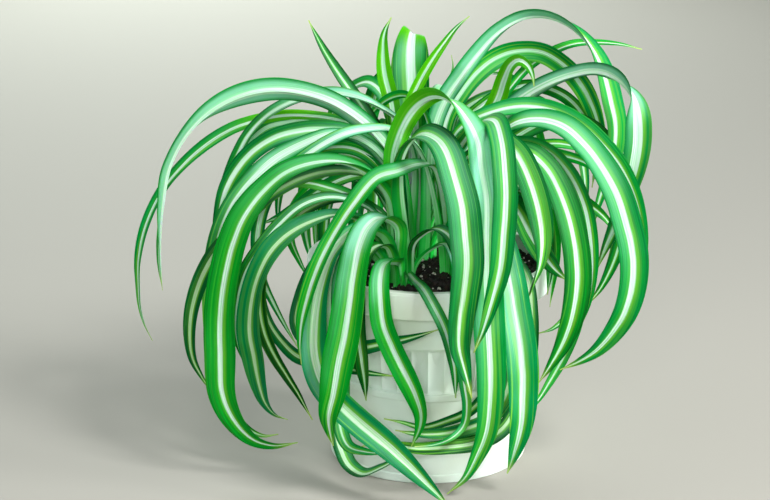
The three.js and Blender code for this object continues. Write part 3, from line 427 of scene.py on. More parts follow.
    ("back_left_outer", "back", 18, 8, [0, -60, -70], [
        (-31, 62, 35), (-48, 74, 44), (-68, 71, 50), (-84, 59, 54), (-91, 42, 56), (-93, 27, 56),
        (-92, 12, 55),
    ]),
    ("left_olive", "back", 17, 9, [0, -60, -70], [
        (-32, 42, 22), (-52, 50, 27), (-70, 43, 31), (-83, 26, 34), (-85, 10, 35), (-79, -5, 35),
        (-72, -18, 34),
    ]),
    ("right_inner_upper", "right", 14, 6, [0, 45, 50], [
        (38, 54, 5), (52, 64, 5), (64, 67, 5), (77, 69, 4), (90, 67, 3), (101, 62, 2), (109, 53, 0),
    ]),
    ("right_inner_lower", "right", 15, 7, [0, 45, 50], [
        (38, 46, -5), (55, 59, -8), (70, 63, -10), (84, 61, -12), (96, 57, -14), (106, 50, -16),
        (113, 41, -18),
    ]),
    ("right_gap_tip", "right", 15, 9, [0, 50, 60], [
        (45, 44, 14), (62, 47, 14), (78, 43, 12), (92, 35, 10), (103, 28, 8), (110, 21, 6), (114, 12, 5),
    ]),
    ("right_gap_teal", "right", 16, 11, [0, 50, 60], [
        (38, 36, 5), (52, 41, 0), (64, 35, -8), (71, 22, -16), (75, 6, -22), (75, -8, -27),
        (73, -24, -32),
    ]),
    ("right_hooked", "right", 16, 7, [0, 45, 60], [
        (40, 38, -4), (62, 42, -8), (79, 30, -12), (89, 10, -17), (92, -12, -22), (90, -28, -27),
        (84, -38, -31), (76, -45, -35), (67, -48, -39),
    ]),
    ("right_low_tail", "right", 17, 8, [0, 50, 60], [
        (42, 32, 12), (64, 38, 13), (82, 27, 10), (91, 5, 4), (94, -18, -2), (91, -40, -8),
        (84, -60, -14), (75, -77, -20), (66, -91, -26), (58, -99, -32),
    ]),
]

# The far side of the plant: arches from the back crown, in three tiers that nest inside each other. Each
# tier has the ways that its leaves head, in degrees, how far they reach, how high they rise over the rim
# and hang under it, their width and the ring that their roots stand on.
BACK_TIERS = [
    ("high", [52, 72], 132, 92, 48, 14, 12),
    ("middle", [36, 60, 83, 104, 124], 112, 62, 62, 12, 15),
    ("low", [24, 40, 57, 76, 100, 119, 138], 84, 34, 70, 10, 19),
]
# An arch's points: the share of the way from its root out to its reach, and the share of the rise, or of
# the drop where it is negative.
ARCH = [
    (0.12, 0.62), (0.22, 0.86), (0.38, 1), (0.58, 0.96), (0.76, 0.76), (0.89, 0.45), (0.97, 0.05),
    (1, -0.4), (0.97, -1),
]
BACK_SEED = 7
TURN_SPREAD = 1.5
SIZE_SPREAD = 0.07
SWERVE = 5

# Short leaves that are part of the rootstock's node
FUSED = [
    "back_small_tip", "back_small_blade", "back_pale_arch", "back_left_outer", "left_olive",
    "left_back_dark", "left_inner_pale", "left_inner_dark", "left_gap_arch", "front_small_arch",
    "front_rim_diagonal", "right_inner_upper", "right_inner_lower", "right_gap_tip", "right_gap_teal",
    "right_hooked", "back_left_hanging",
]
FUSED_TIERS = ("back_middle", "back_low")

# A linear congruential generator of 32 bits draws the leaves of the far side, as the solids have them.
RANDOM_FACTOR = 1664525
RANDOM_STEP = 1013904223
RANDOM_RANGE = 2 ** 32

# The finer blades are a little wider than their solids, above all near the root, where their sheaths stand
# closer together, and they roll a little in waves along their length.
WIDER = 1.05
SHEATH_WIDTH = 0.56
ROOTS_CLOSER = 0.6
WAVE_ROLL = 4
WAVE_LENGTH = 13
WAVE_GROWN_AT = 0.3
FULL_THICKNESS_AT = 2.5
LIT_BLUR = 0.4
# Where a sheen of the key lamp is painted on a blade's upper side: the way that the blade faces where the
# painted sheen is palest, from where to where it grows, and how much more its two halves face apart than
# their fold.
PAINTED_SHEEN_WAY = (0.5, -0.3, 0.81)
PAINTED_SHEEN_FROM = 0.25
PAINTED_SHEEN_FULL = 0.9
PAINTED_SHEEN_TILT = math.radians(10)

# Turned shapes: a corner cut shorter than this stays sharp, and a flat end has this radius.
SMALLEST_CUT = 0.05
CENTRE = 4
# The rounded foot and head of a flute are this high, with rings of points at these shares of it.
FLUTE_END = 2.2
END_RINGS = (0.1, 0.35, 0.7, 1)
DRAIN_SEGMENTS = 32
SHARP_PLASTIC = 35
SHARP_SOIL = 60
SHARP_LEAF = 50

# Leaf finish. What is per millimetre is a noise's scale across or along the blade.
SEED_APART = 37
WANDER_PER_MM = 0.03
WANDER = 0.16
LINES_PER_MM = 1.5
LINE_DRIFT_PER_MM = 0.012
STREAKS_PER_MM = 0.55
RAGGED = 0.16
STRIPE_BLUR = 0.05
BORDER_WIDTH = 0.34
BORDER_STRENGTH = 0.65
BORDER_WEAKER = 0.25
LINES_FROM = 0.35
LINES_TO = 0.75
STREAK_FROM = 0.55
STREAK_FULL = 0.66
# Towards the root the blade turns a paler green, partly its own and partly painted light through the crown.
BASE_FROM = 0.02
BASE_TO = 0.32
BASE_STRENGTH = 0.85
STRIPE_WIDE_FROM = 0.1
STRIPE_WIDE_TO = 0.55
STRIPE_WIDER = 1.0
OLD_FROM = 0.6
OLD_STRIPE = 0.5
# The painted sheen is full up to a share of the blade's length, then fades to a share of itself further
# out.
SHEEN_LEFT = 0.25
SHEEN_FROM = 0.45
SHEEN_TO = 0.9
MARGIN_FROM = 0.55
MARGIN_SHADE = 0.35
TIP_FROM = 0.95
TIP_STRENGTH = 0.6
LEAF_RIB = 0.4
LINE_DEPTH = 1.5
LEAF_ROUGHNESS = 0.3
LEAF_SPECULAR = 0.06
LEAF_ROUGHNESS_SPREAD = 0.15
LEAF_SUBSURFACE = 0.4
LEAF_DEPTH = 0.8
LEAF_GLOW = (0.5, 1.0, 0.3)

# Plastic, soil and stage
PLASTIC_PATCHES = 18
PLASTIC_CAST = (0.4, 0.75)
PLASTIC_GRAIN = 900
PLASTIC_BUMP = 0.04
PLASTIC_ROUGHNESS = 0.38
PLASTIC_ROUGHNESS_SPREAD = 0.12
PLASTIC_SUBSURFACE = 0.1
PLASTIC_DEPTH = 2
SOIL_WAVE = 9
SOIL_LIFT = -0.2
# How fast the finer waves get lower, how much finer each is than the last, and how many there are
SOIL_FRACTAL = (1.0, 2.0, 4)
GRAIN_LUMPS = 0.5
LUMPS_PER_GRAIN = 1.7
GRAIN_STRETCH = (0.6, 1.2)
GRAIN_LIFT = (-0.2, 0.5)
FLOOR = 4000
FLOOR_ROUGHNESS = 0.8
ROOM_COLOUR = "e8eef2"
ROOM_STRENGTH = 0.18
PLANT_MIDDLE = (0, 0, 140)
POT_MIDDLE = (0, 0, 70)
LAMP_TINT = (0.97, 1.0, 1.0)

# How a leaf is coloured. stripe is the half width of its white band, as a share of the blade's; streaks
# is how many thin pale lines run in its green; shade goes from 0, fresh green, to 1, the deep green of an
# old leaf; silver is how strong the painted sheen of the key lamp is on its upper side, and back how pale
# its under side is, partly its own paler green and partly a painted sheen; teal is how blue its green is;
# and lit gives from where to where light through it is painted, as shares of its length. What isn't
# given is drawn at random around the usual look.
USUAL_LOOK = {
    "stripe": 0.18, "streaks": 0.3, "shade": 0.4, "painted_sheen": 0.2, "back": 0, "teal": 0.25, "lit": (0, 0),
}
LOOK_SPREAD = {"stripe": 0.05, "streaks": 0.25, "shade": 0.35, "painted_sheen": 0.2, "teal": 0.25}
LOOKS = {
    "front_tall_arch": {"lit": (0.02, 0.46), "stripe": 0.17, "shade": 0.4, "teal": 0.5, "painted_sheen": 0.6},
    "front_hooked": {"shade": 0.3, "stripe": 0.18, "painted_sheen": 0.9, "teal": 0.6},
    "right_curled": {"lit": (0.15, 1.15), "stripe": 0.3},
    "upright_channel": {"lit": (0.8, 1.0), "stripe": 0.26, "painted_sheen": 0.9, "shade": 0.5},
    "upright_thin": {"lit": (0.5, 1.0), "stripe": 0.2},
    "upright_blade": {"lit": (0.55, 1.0), "stripe": 0.26},
    "far_left_arch": {"painted_sheen": 0.8, "back": 0.6, "stripe": 0.3, "shade": 0.2},
    "far_left_low_arch": {"stripe": 0.2, "shade": 0.3, "lit": (0.3, 0.55)},
    "left_over_arch": {"painted_sheen": 0.7, "back": 0.4, "stripe": 0.3},
    "left_broad_arch": {"painted_sheen": 0.7, "back": 0.4, "stripe": 0.3},
    "left_striped_arch": {"painted_sheen": 0.4, "stripe": 0.28},
    "left_thin_arch": {"painted_sheen": 0.4, "stripe": 0.3},
    "left_pale_arch": {"painted_sheen": 0.8, "back": 0.5, "stripe": 0.34},
    "left_long_hanging": {"stripe": 0.15, "shade": 0.3, "teal": 0.1, "painted_sheen": 0.2},
    "left_front_drooping": {"stripe": 0.14, "shade": 0.9, "teal": 0.7, "painted_sheen": 0.15},
    "left_dark_hanging": {"stripe": 0.2, "shade": 1.0},
    "left_lower_dark": {"stripe": 0.16, "shade": 1.1},
    "front_left_dark": {"stripe": 0.18, "shade": 0.8},
    "front_right_pale": {"stripe": 0.18, "streaks": 0.8, "shade": 0.5, "painted_sheen": 0.7, "teal": 0.8},
    "front_left_wide": {"stripe": 0.18, "shade": 0.2, "teal": 0.1, "painted_sheen": 0.8},
    "low_left_diagonal": {"stripe": 0.26, "shade": 0.8, "streaks": 0.8, "teal": 0.9, "painted_sheen": 0.5},
    "pot_sweep_upper": {"stripe": 0.2, "shade": 1.0},
    "pot_sweep_lower": {"stripe": 0.2, "shade": 1.0},
    "saucer_sweep_upper": {"stripe": 0.2, "shade": 1.0},
    "saucer_sweep_middle": {"stripe": 0.2, "shade": 0.9},
    "saucer_sweep_lower": {"stripe": 0.2, "shade": 0.9},
    "saucer_fold_lower": {"stripe": 0.24, "shade": 0.8},
    "tall_right_arch": {"stripe": 0.2, "shade": 0.4, "teal": 0.6, "back": 0.5},
    "second_right_arch": {"stripe": 0.18, "shade": 0.4, "back": 0.4},
    "right_pale_arch": {"stripe": 0.36, "painted_sheen": 0.8, "back": 0.6},
    "right_folded": {"stripe": 0.18, "shade": 0.75, "painted_sheen": 0.1},
    "right_long_hanging": {"stripe": 0.2, "shade": 0.5, "painted_sheen": 0.3},
}
LOOK_SEED = 3

# Colours, as a screen shows them
DEEP_GREEN = "00480a"
FRESH_GREEN = "00a41a"
LIT_GREEN = "48ac08"
TEAL_GREEN = "00a062"
TRANSITION_GREEN = "7ac434"
# The green near the root: the sheath's own paler green, brightened with painted light
PALE_AND_LIT_BASE = "20d648"
OLD_CREAM = "a6cc70"
STRIPE_WHITE = "d4ecdc"
STRIPE_LINE = "8fd49c"
# The painted sheen, and the paler under side of some blades, which is partly painted sheen too
SHEEN_AND_PALE_UNDER_GREEN = "98dcc2"
OLD_YELLOW = "b9c65a"
PLASTIC_WHITE = "e6f4ea"
PLASTIC_WARM = "dfe8d4"
SOIL_BLACK = "120e0b"
SOIL_BROWN = "3a2a1e"
PERLITE_WHITE = "dcd8cc"
CROWN_GREEN = "a9cf8c"
FLOOR_PALE = "9f9a92"

# Rough finishes: their colour, their stain, the scale and detail of the noise that the stain comes in and
# from where to where it grows, the scale and detail of their grain, its height and their roughness
ROUGH_FINISHES = {
    "potting_soil": (SOIL_BLACK, SOIL_BROWN, (220, 4), 0.35, 0.7, (1500, 5), 0.5, 0.95),
    "perlite": (PERLITE_WHITE, SOIL_BROWN, (220, 3), 0.5, 0.8, (1500, 3), 0.25, 0.9),
    "crown_flesh": (CROWN_GREEN, SOIL_BROWN, (110, 3), 0.45, 0.75, (750, 3), 0.5, 0.7),
}


def linear(screen_colour):
    """The linear red, green, blue and alpha of a colour that is given as a screen shows it."""
    parts = [int(screen_colour[at:at + 2], 16) / 255 for at in (0, 2, 4)]
    return [part / 12.92 if part <= 0.04045 else ((part + 0.055) / 1.055) ** 2.4 for part in parts] + [1]


# Shapes of leaves


def smooth(start, end, value):
    share = np.clip((value - start) / (end - start), 0, 1)
    return share * share * (3 - 2 * share)


def unit(vectors):
    return vectors / np.linalg.norm(vectors, axis=-1, keepdims=True)


def seen(across, up, depth):
    """A place in the plant from how it is seen."""
    point = np.array([across, up * math.sin(VIEW_TILT), RIM_TOP + up * math.cos(VIEW_TILT)])
    stretch = (depth - EYE[1]) / (point[1] - EYE[1])
    return EYE + stretch * (point - EYE)


def back_leaves():
    """The leaves of the far side, drawn the same on every run."""
    state = BACK_SEED

    def spread(size):
        nonlocal state
        state = (state * RANDOM_FACTOR + RANDOM_STEP) % RANDOM_RANGE
        return (state / RANDOM_RANGE * 2 - 1) * size

    x, y = CROWNS["back"]
    for tier, turns, reach, rise, drop, width, ring in BACK_TIERS:
        for index, heading in enumerate(turns):
            turn = heading + spread(TURN_SPREAD)
            size = 1 + spread(SIZE_SPREAD)
            swerve = spread(SWERVE)
            points = []
            for out, height in ARCH:
                way = math.radians(turn + swerve * out * out)
                distance = ring + out * (reach * size - ring)
                rise_or_drop = rise if height > 0 else drop
                points.append(np.array([
                    x + distance * math.cos(way),
                    y + distance * math.sin(way),
                    RIM_TOP + height * size * rise_or_drop,
                ]))
            yield f"back_{tier}_{index + 1}", "back", ring, width, [0, 0], points


def midrib(crown, root_ring, root_height, points):
    """The way that a leaf heads, and its midrib's points from the root up to the tip."""
    middle = np.array([*CROWNS[crown], 0])
    flat = [(point - middle) * (1, 1, 0) for point in points]
    heading = unit(next((way for way in flat if np.linalg.norm(way) > AIM_RADIUS), flat[-1]))
    root = middle + heading * root_ring + UP * root_height
    lift = np.clip((points[0][2] - root_height) * RISE_SHARE, SMALLEST_RISE, LARGEST_RISE)
    risen = root + heading * RISE_LEAN + UP * lift
    return heading, np.array([root, risen, *points])


def on_curve(points, places):
    """Points of a centripetal Catmull-Rom curve at places from 0 to 1."""
    before_first = 2 * points[0] - points[1]
    after_last = 2 * points[-1] - points[-2]
    padded = np.vstack([before_first, points, after_last])
    last = len(points) - 1
    spot = places * last
    index = np.minimum(spot.astype(int), last - 1)
    share = (spot - index)[:, None]
    a, b, c, d = (padded[index + offset] for offset in range(4))
    first, second, third = (np.linalg.norm(end - start, axis=1)[:, None] ** 0.5
                            for start, end in ((a, b), (b, c), (c, d)))
    leaving = ((b - a) / first - (c - a) / (first + second) + (c - b) / second) * second
    arriving = ((c - b) / second - (d - b) / (second + third) + (d - c) / third) * second
    return (
        (2 * b - 2 * c + leaving + arriving) * share ** 3
        + (3 * c - 3 * b - 2 * leaving - arriving) * share ** 2
        + leaving * share
        + b
    )


def even_points(points):
    """Points of the curve that are RING_STEP apart, and the curve's length."""
    places = np.linspace(0, 1, CURVE_DIVISIONS + 1)
    rough = on_curve(points, places)
    run = np.concatenate([[0], np.cumsum(np.linalg.norm(np.diff(rough, axis=0), axis=1))])
    steps = round(run[-1] / RING_STEP)
    return on_curve(points, np.interp(np.linspace(0, run[-1], steps + 1), run, places)), run[-1]


def roll_at(rolls, share):
    place = share * (len(rolls) - 1)
    index = np.minimum(place.astype(int), len(rolls) - 2)
    rolls = np.array(rolls, float)
    return np.radians(rolls[index] + (rolls[index + 1] - rolls[index]) * smooth(0, 1, place - index))


def half_width(share, width, base_width):
    grown = base_width + (1 - base_width) * smooth(0, FULL_WIDTH_AT, share)
    taper = 1 - np.clip((share - TAPER_FROM) / (1 - TAPER_FROM), 0, 1) ** TAPER_POWER
    return np.maximum(TIP_HALF_WIDTH, width / 2 * grown * taper)


def fold_at(share):
    return np.radians(FOLD + (BASE_FOLD - FOLD) * (1 - smooth(0, FOLD_OPENS_BY, share)))


def carried_side(heading, along):
    """The blade's sideways direction at each ring, carried along the midrib without twist."""
    side = np.array([-heading[1], heading[0], 0.0])
    sides = []
    for way in along:
        side = unit(side - side.dot(way) * way)
        sides.append(side)
    return np.array(sides)


def new_object(name, data):
    """An object in the scene with this mesh, light or camera."""
    made = bpy.data.objects.new(name, data)
    bpy.context.scene.collection.objects.link(made)
    return made


class Mesh:
    """Points, faces and named values of one piece, gathered from several shapes."""

    def __init__(self):
        self.points = []
        self.faces = []
        self.values = {}
        self.face_values = {}
        self.count = 0

    def add(self, points, faces, values=None, face_values=None):
        self.faces += [[corner + self.count for corner in face] for face in faces]
        self.points.append(points)
        self.count += len(points)
        for name, value in (values or {}).items():
            self.values.setdefault(name, []).append(np.broadcast_to(value, len(points)))
        for name, value in (face_values or {}).items():
            self.face_values.setdefault(name, []).append(np.broadcast_to(value, len(faces)))

    def object(self, name, materials, sharp_from):
        mesh = bpy.data.meshes.new(name)
        mesh.from_pydata((np.vstack(self.points) * MM).tolist(), [], self.faces)
        for domain, found in (("POINT", self.values), ("FACE", self.face_values)):
            for label, parts in found.items():
                layer = mesh.attributes.new(label, "FLOAT", domain)
                layer.data.foreach_set("value", np.concatenate(parts).astype(np.float32))
        for material in materials:
            mesh.materials.append(material)
        mesh.shade_smooth()
        mesh.set_sharp_from_angle(angle=math.radians(sharp_from))
        return new_object(name, mesh)


def skin(rings, around):
    """The faces between rings of points, with so many points around each."""
    faces = []
    for start in range(0, (rings - 1) * around, around):
        for step in range(around):
            after = (step + 1) % around
            faces.append((start + step, start + after, start + around + after, start + around + step))
    return faces


def add_blade(mesh, leaf, root_height, look):
    """A finer blade on the same midrib: a folded ribbon with a soft crease, a keel and thin margins."""
    _, crown, ring, width, rolls, points = leaf
    heading, rib = midrib(crown, ring * ROOTS_CLOSER, root_height, points)
    centres, length = even_points(rib)
    along = unit(np.gradient(centres, axis=0))
    along[0] = UP
    share = np.linspace(0, 1, len(centres))
    side = carried_side(heading, along)
    wave = WAVE_ROLL * np.sin(share * length / WAVE_LENGTH + look["seed"] * math.tau)
    roll = (roll_at(rolls, share) + np.radians(wave * smooth(0, WAVE_GROWN_AT, share)))[:, None]
    across = side * np.cos(roll) + np.cross(along, side) * np.sin(roll)
    up = np.cross(along, across)

    fold = fold_at(share)
    half = half_width(share, width * WIDER, SHEATH_WIDTH)
    place = np.linspace(-1, 1, ACROSS_STEPS + 1)
    crease = (np.hypot(place, CREASE) - CREASE) / (math.hypot(1, CREASE) - CREASE)
    bow = BOW * np.sin(np.abs(place) * math.pi)
    keel = KEEL * np.exp(-(place / KEEL_WIDTH) ** 2)
    body = RIB_THICKNESS + (MARGIN_THICKNESS - RIB_THICKNESS) * np.abs(place)
    reach = (half * np.cos(fold))[:, None] * place
    lift = (half * np.sin(fold))[:, None] * crease + half[:, None] * bow
    thick = np.minimum(1, half / FULL_THICKNESS_AT)[:, None] * (body + keel) / np.cos(fold)[:, None]
    upper = centres[:, None] + across[:, None] * reach[..., None] + up[:, None] * lift[..., None]
    under = upper - up[:, None] * thick[..., None]

    # Each ring runs along the under side and back along the upper one.
    ring = np.concatenate([under, upper[:, ::-1]], axis=1)
    around = np.concatenate([place, place[::-1]])
    faces, is_under = blade_faces(len(centres))
    values = {
        "across": np.tile(around, len(centres)),
        "reach": np.repeat(share, len(around)),
        "side": np.outer(half, around).ravel(),
        "distance": np.repeat(share * length, len(around)),
        "lit": np.repeat(lit_at(look["lit"], share), len(around)),
        # sheen: how much the blade faces the key lamp, for the painted sheen
        "sheen": painted_sheen_at(up, across, fold, around).ravel(),
    }
    for name in ("seed", "stripe", "streaks", "shade", "painted_sheen", "back", "teal"):
        values[name] = look[name]
    mesh.add(ring.reshape(-1, 3), faces, values, {"under": is_under})


def painted_sheen_at(up, across, fold, place):
    """How much each point of each ring faces the key lamp, for the sheen that is painted on the upper side.
    """
    tilt = (fold[:, None] + PAINTED_SHEEN_TILT) * place
    facing = (up @ PAINTED_SHEEN_WAY)[:, None] * np.cos(tilt) - (across @ PAINTED_SHEEN_WAY)[:, None] * np.sin(tilt)
    return smooth(PAINTED_SHEEN_FROM, PAINTED_SHEEN_FULL, facing)


def lit_at(lit, share):
    start, end = lit
    if start == end:
        return np.zeros(len(share))
    blur = (end - start) * LIT_BLUR
    return smooth(start, start + blur, share) * (1 - smooth(end - blur, end, share))


def blade_faces(rings):
    """A blade's faces: its skin and a strip over each end, and which of them are on the under side."""
    around = 2 * (ACROSS_STEPS + 1)
    sides = []
    for index, face in enumerate(skin(rings, around)):
        # The upper faces start one corner later, and so split into triangles as the under ones do.
        is_upper = ACROSS_STEPS <= index % around < around - 1
        sides.append(face[1:] + face[:1] if is_upper else face)
    tip = (rings - 1) * around
    ends = []
    for under in range(ACROSS_STEPS):
        upper = around - 1 - under
        ends.append((upper, upper - 1, under + 1, under))
        ends.append((tip + upper, tip + under, tip + under + 1, tip + upper - 1))
    is_under = [index % around < ACROSS_STEPS for index in range(len(sides))]
    return sides + ends, is_under + [False] * len(ends)


# Turned shapes


def rounded(profile, radius):
    """The profile's points with each corner turned into an arc of about this radius. A point may give a
    radius of its own as a third number."""
    corners = [np.array(point[:2], float) for point in profile]
    result = []
    for index, point in enumerate(profile):
        own = point[2] if len(point) > 2 else radius
        corner = corners[index]
        before = corners[index - 1] - corner
        after = corners[(index + 1) % len(corners)] - corner
        cut = min(own, np.linalg.norm(before) / 2, np.linalg.norm(after) / 2)
        if index in (0, len(profile) - 1) or cut < SMALLEST_CUT:
            result.append(corner)
            continue
        start = corner + unit(before) * cut
        end = corner + unit(after) * cut
        for step in range(EDGE_STEPS + 1):
            share = step / EDGE_STEPS
            result.append(
                start * (1 - share) ** 2 + 2 * corner * share * (1 - share) + end * share ** 2
            )
    return result


def add_turned(mesh, profile, segments, centre=(0, 0), relief=lambda turns, z: 0, height=lambda points: 0):
    """A closed round shape from its profile of radius and height, from the axis round to the axis."""
    turns = np.arange(segments) / segments * math.tau
    rings = []
    for radius, z in profile:
        radii = radius - relief(turns, z)
        rings.append(np.stack([radii * np.cos(turns), radii * np.sin(turns), z + 0 * turns], axis=1))
    points = np.vstack(rings)
    points[:, 2] += height(points)
    top = len(points) - segments
    ends = [tuple(range(segments - 1, -1, -1)), tuple(range(top, top + segments))]
    mesh.add(points + (*centre, 0), skin(len(rings), segments) + ends)


def flute_relief(turns, z):
    """How far the flutes hollow the wall: an arc across each, with a rounded foot and head."""
    if not RING_TOP < z < FLUTES_TOP:
        return np.zeros(len(turns))
    place = (turns * FLUTES / math.tau) % 1 * 2 - 1
    hollow = np.clip(1 - (np.abs(place) / FLUTE_HOLLOW) ** 2, 0, None) ** FLUTE_ARC
    ends = smooth(RING_TOP, RING_TOP + FLUTE_END, z) * (1 - smooth(FLUTES_TOP - FLUTE_END, FLUTES_TOP, z))
    return FLUTE_DEPTH * hollow * ends


# Materials


class Shader:
    """The nodes of one material. Each call adds a node and gives back its result."""

    def __init__(self, name):
        self.material = bpy.data.materials.new(name)
        self.material.use_nodes = True
        self.tree = self.material.node_tree
        self.surface = self.tree.nodes["Principled BSDF"]

    def plug(self, value, socket):
        if isinstance(value, bpy.types.NodeSocket):
            self.tree.links.new(value, socket)
        else:
            socket.default_value = value

    def node(self, kind, inputs, output=0, **settings):
        made = self.tree.nodes.new(kind)
        for name, value in settings.items():
            setattr(made, name, value)
        for key, value in inputs.items():
            self.plug(value, made.inputs[key])
        return made.outputs[output]

    def value(self, attribute):
        return self.node("ShaderNodeAttribute", {}, "Fac", attribute_name=attribute)

    def math(self, operation, first, second=0):
        return self.node("ShaderNodeMath", {0: first, 1: second}, operation=operation)

    def plus(self, *values):
        return reduce(lambda first, second: self.math("ADD", first, second), values)

    def times(self, *values):
        return reduce(lambda first, second: self.math("MULTIPLY", first, second), values)

    def rest(self, share):
        return self.math("SUBTRACT", 1.0, share)

    def join(self, x, y, z):
        return self.node("ShaderNodeCombineXYZ", {0: x, 1: y, 2: z})

    def place(self):
        return self.node("ShaderNodeTexCoord", {}, "Object")

    def noise(self, vector, scale, detail=2.0):
        return self.node("ShaderNodeTexNoise", {"Vector": vector, "Scale": scale, "Detail": detail})

    def ease(self, value, start, end, low=0, high=1):
        """A smooth step from low, where value is at start, to high, where it is at end."""
        return self.node(
            "ShaderNodeMapRange", {0: value, 1: start, 2: end, 3: low, 4: high},
            interpolation_type="SMOOTHSTEP",
        )

    def blend(self, share, *colours):
        first, second = (linear(colour) if isinstance(colour, str) else colour for colour in colours)
        return self.node("ShaderNodeMix", {0: share, 6: first, 7: second}, 2, data_type="RGBA")

    def bump(self, height, distance):
        normal = self.node("ShaderNodeBump", {"Height": height, "Distance": distance, "Strength": 1})
        self.plug(normal, self.surface.inputs["Normal"])

    def finish(self, **sockets):
        for name, value in sockets.items():
            self.plug(value, self.surface.inputs[name.replace("_", " ")])
        return self.material


def leaf_material():
    """Green margins, a white band down the middle with a yellow-green border, and fine lines along."""
    shader = Shader("striped_leaf")
    value, times, plus, ease, blend = shader.value, shader.times, shader.plus, shader.ease, shader.blend
    across, reach, side, distance = (value(name) for name in ("across", "reach", "side", "distance"))
    lit, under = value("lit"), value("under")
    own = times(value("seed"), SEED_APART)
    drift = times(distance, LINE_DRIFT_PER_MM)
    wander = shader.noise(shader.join(times(distance, WANDER_PER_MM), own, 0), 1)
    lines = shader.noise(shader.join(times(side, LINES_PER_MM), drift, own), 1, 3)
    broad_way = shader.join(times(side, STREAKS_PER_MM), times(drift, 0.5), plus(own, SEED_APART / 2))
    broad_lines = shader.noise(broad_way, 1, 1)

    spot = shader.math("ABSOLUTE", plus(across, times(plus(wander, -0.5), WANDER)))
    ragged = plus(spot, times(plus(lines, -0.5), RAGGED))
    half_stripe = times(value("stripe"), ease(reach, STRIPE_WIDE_TO, STRIPE_WIDE_FROM, 1, 1 + STRIPE_WIDER))
    edge = shader.math("SUBTRACT", ragged, half_stripe)
    in_stripe = ease(edge, STRIPE_BLUR, -STRIPE_BLUR)
    sided = ease(across, -BORDER_WIDTH, BORDER_WIDTH, BORDER_WEAKER, 1)
    in_border = times(ease(edge, BORDER_WIDTH, STRIPE_BLUR), sided, BORDER_STRENGTH)
    in_margin = ease(spot, MARGIN_FROM, 1)
    in_streak = times(ease(broad_lines, STREAK_FROM, STREAK_FULL), value("streaks"))

    shade = plus(value("shade"), times(plus(lines, -0.5), LINE_DEPTH), times(in_margin, MARGIN_SHADE))
    green = blend(shade, FRESH_GREEN, DEEP_GREEN)
    green = blend(times(value("teal"), wander), green, TEAL_GREEN)
    green = blend(lit, green, LIT_GREEN)
    for share in (in_streak, in_border):
        green = blend(share, green, TRANSITION_GREEN)
    # Painted sheen of the key lamp on the upper side; the under side is paler, partly by painted sheen.
    fading = ease(reach, SHEEN_TO, SHEEN_FROM, SHEEN_LEFT)
    shining = times(value("sheen"), value("painted_sheen"), fading, shader.rest(under))
    pale = plus(shining, times(under, value("back")))
    green = blend(times(pale, shader.rest(in_margin), shader.rest(lit)), green, SHEEN_AND_PALE_UNDER_GREEN)

    white = blend(ease(lines, LINES_FROM, LINES_TO), STRIPE_WHITE, STRIPE_LINE)
    white = blend(ease(value("shade"), OLD_FROM, 1, 0, OLD_STRIPE), white, OLD_CREAM)
    colour = blend(in_stripe, green, white)
    # Near the root the green turns paler, partly its own and partly painted light through the crown.
    colour = blend(times(ease(reach, BASE_TO, BASE_FROM), BASE_STRENGTH), colour, PALE_AND_LIT_BASE)
    colour = blend(times(ease(reach, TIP_FROM, 1), TIP_STRENGTH), colour, OLD_YELLOW)

    shader.bump(lines, LEAF_RIB * MM)
    return shader.finish(
        Base_Color=colour,
        Roughness=plus(LEAF_ROUGHNESS, times(wander, LEAF_ROUGHNESS_SPREAD)),
        Specular_IOR_Level=LEAF_SPECULAR,
        Subsurface_Weight=LEAF_SUBSURFACE,
        Subsurface_Radius=LEAF_GLOW,
        Subsurface_Scale=LEAF_DEPTH * MM,
    )


def plastic_material():
    """White moulded plastic with a faint warm cast in patches and a soft sheen."""
    shader = Shader("white_moulded_plastic")
    place = shader.place()
    patches = shader.noise(place, PLASTIC_PATCHES, 3)
    grain = shader.noise(place, PLASTIC_GRAIN)
    shader.bump(grain, PLASTIC_BUMP * MM)
    return shader.finish(
        Base_Color=shader.blend(shader.ease(patches, *PLASTIC_CAST), PLASTIC_WHITE, PLASTIC_WARM),
        Roughness=shader.plus(PLASTIC_ROUGHNESS, shader.times(grain, PLASTIC_ROUGHNESS_SPREAD)),
        Subsurface_Weight=PLASTIC_SUBSURFACE,
        Subsurface_Radius=(1, 1, 1),
        Subsurface_Scale=PLASTIC_DEPTH * MM,
    )


def rough_material(name, stained=None):
    """Peat, perlite or bare crown: a stain in clumps and a fine grain. stained names a value of the mesh
    that makes the stain weaker where it is low."""
    base, stain, clumps, start, end, grain, height, roughness = ROUGH_FINISHES[name]
    shader = Shader(name)
    place = shader.place()
    share = shader.ease(shader.noise(place, *clumps), start, end)
    if stained:
        share = shader.times(shader.value(stained), share)
    shader.bump(shader.noise(place, *grain), height * MM)
    return shader.finish(Base_Color=shader.blend(share, base, stain), Roughness=roughness)


# Pieces


def place_piece(piece, material_slot, *nodes):
    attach(piece, "root")
    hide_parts(*nodes)
    return piece


def make_saucer(plastic):
    inner = SAUCER_TOP_RADIUS - SAUCER_WALL
    mesh = Mesh()
    add_turned(mesh, rounded([
        (CENTRE, 0),
        (SAUCER_FOOT_RADIUS, 0, 0.8),
        (SAUCER_FOOT_RADIUS, SAUCER_FOOT_TOP, 0.9),
        (SAUCER_WALL_RADIUS, SAUCER_FOOT_TOP + 0.3, 0.9),
        (SAUCER_TOP_RADIUS, SAUCER_TOP, 0.7),
        (inner, SAUCER_TOP, 0.7),
        (SAUCER_WALL_RADIUS - SAUCER_WALL, SAUCER_FLOOR, 2),
        (CENTRE, SAUCER_FLOOR),
    ], EDGE), SAUCER_SEGMENTS)
    place_piece(mesh.object("saucer_tray", [plastic], SHARP_PLASTIC), "white_plastic", "saucer")


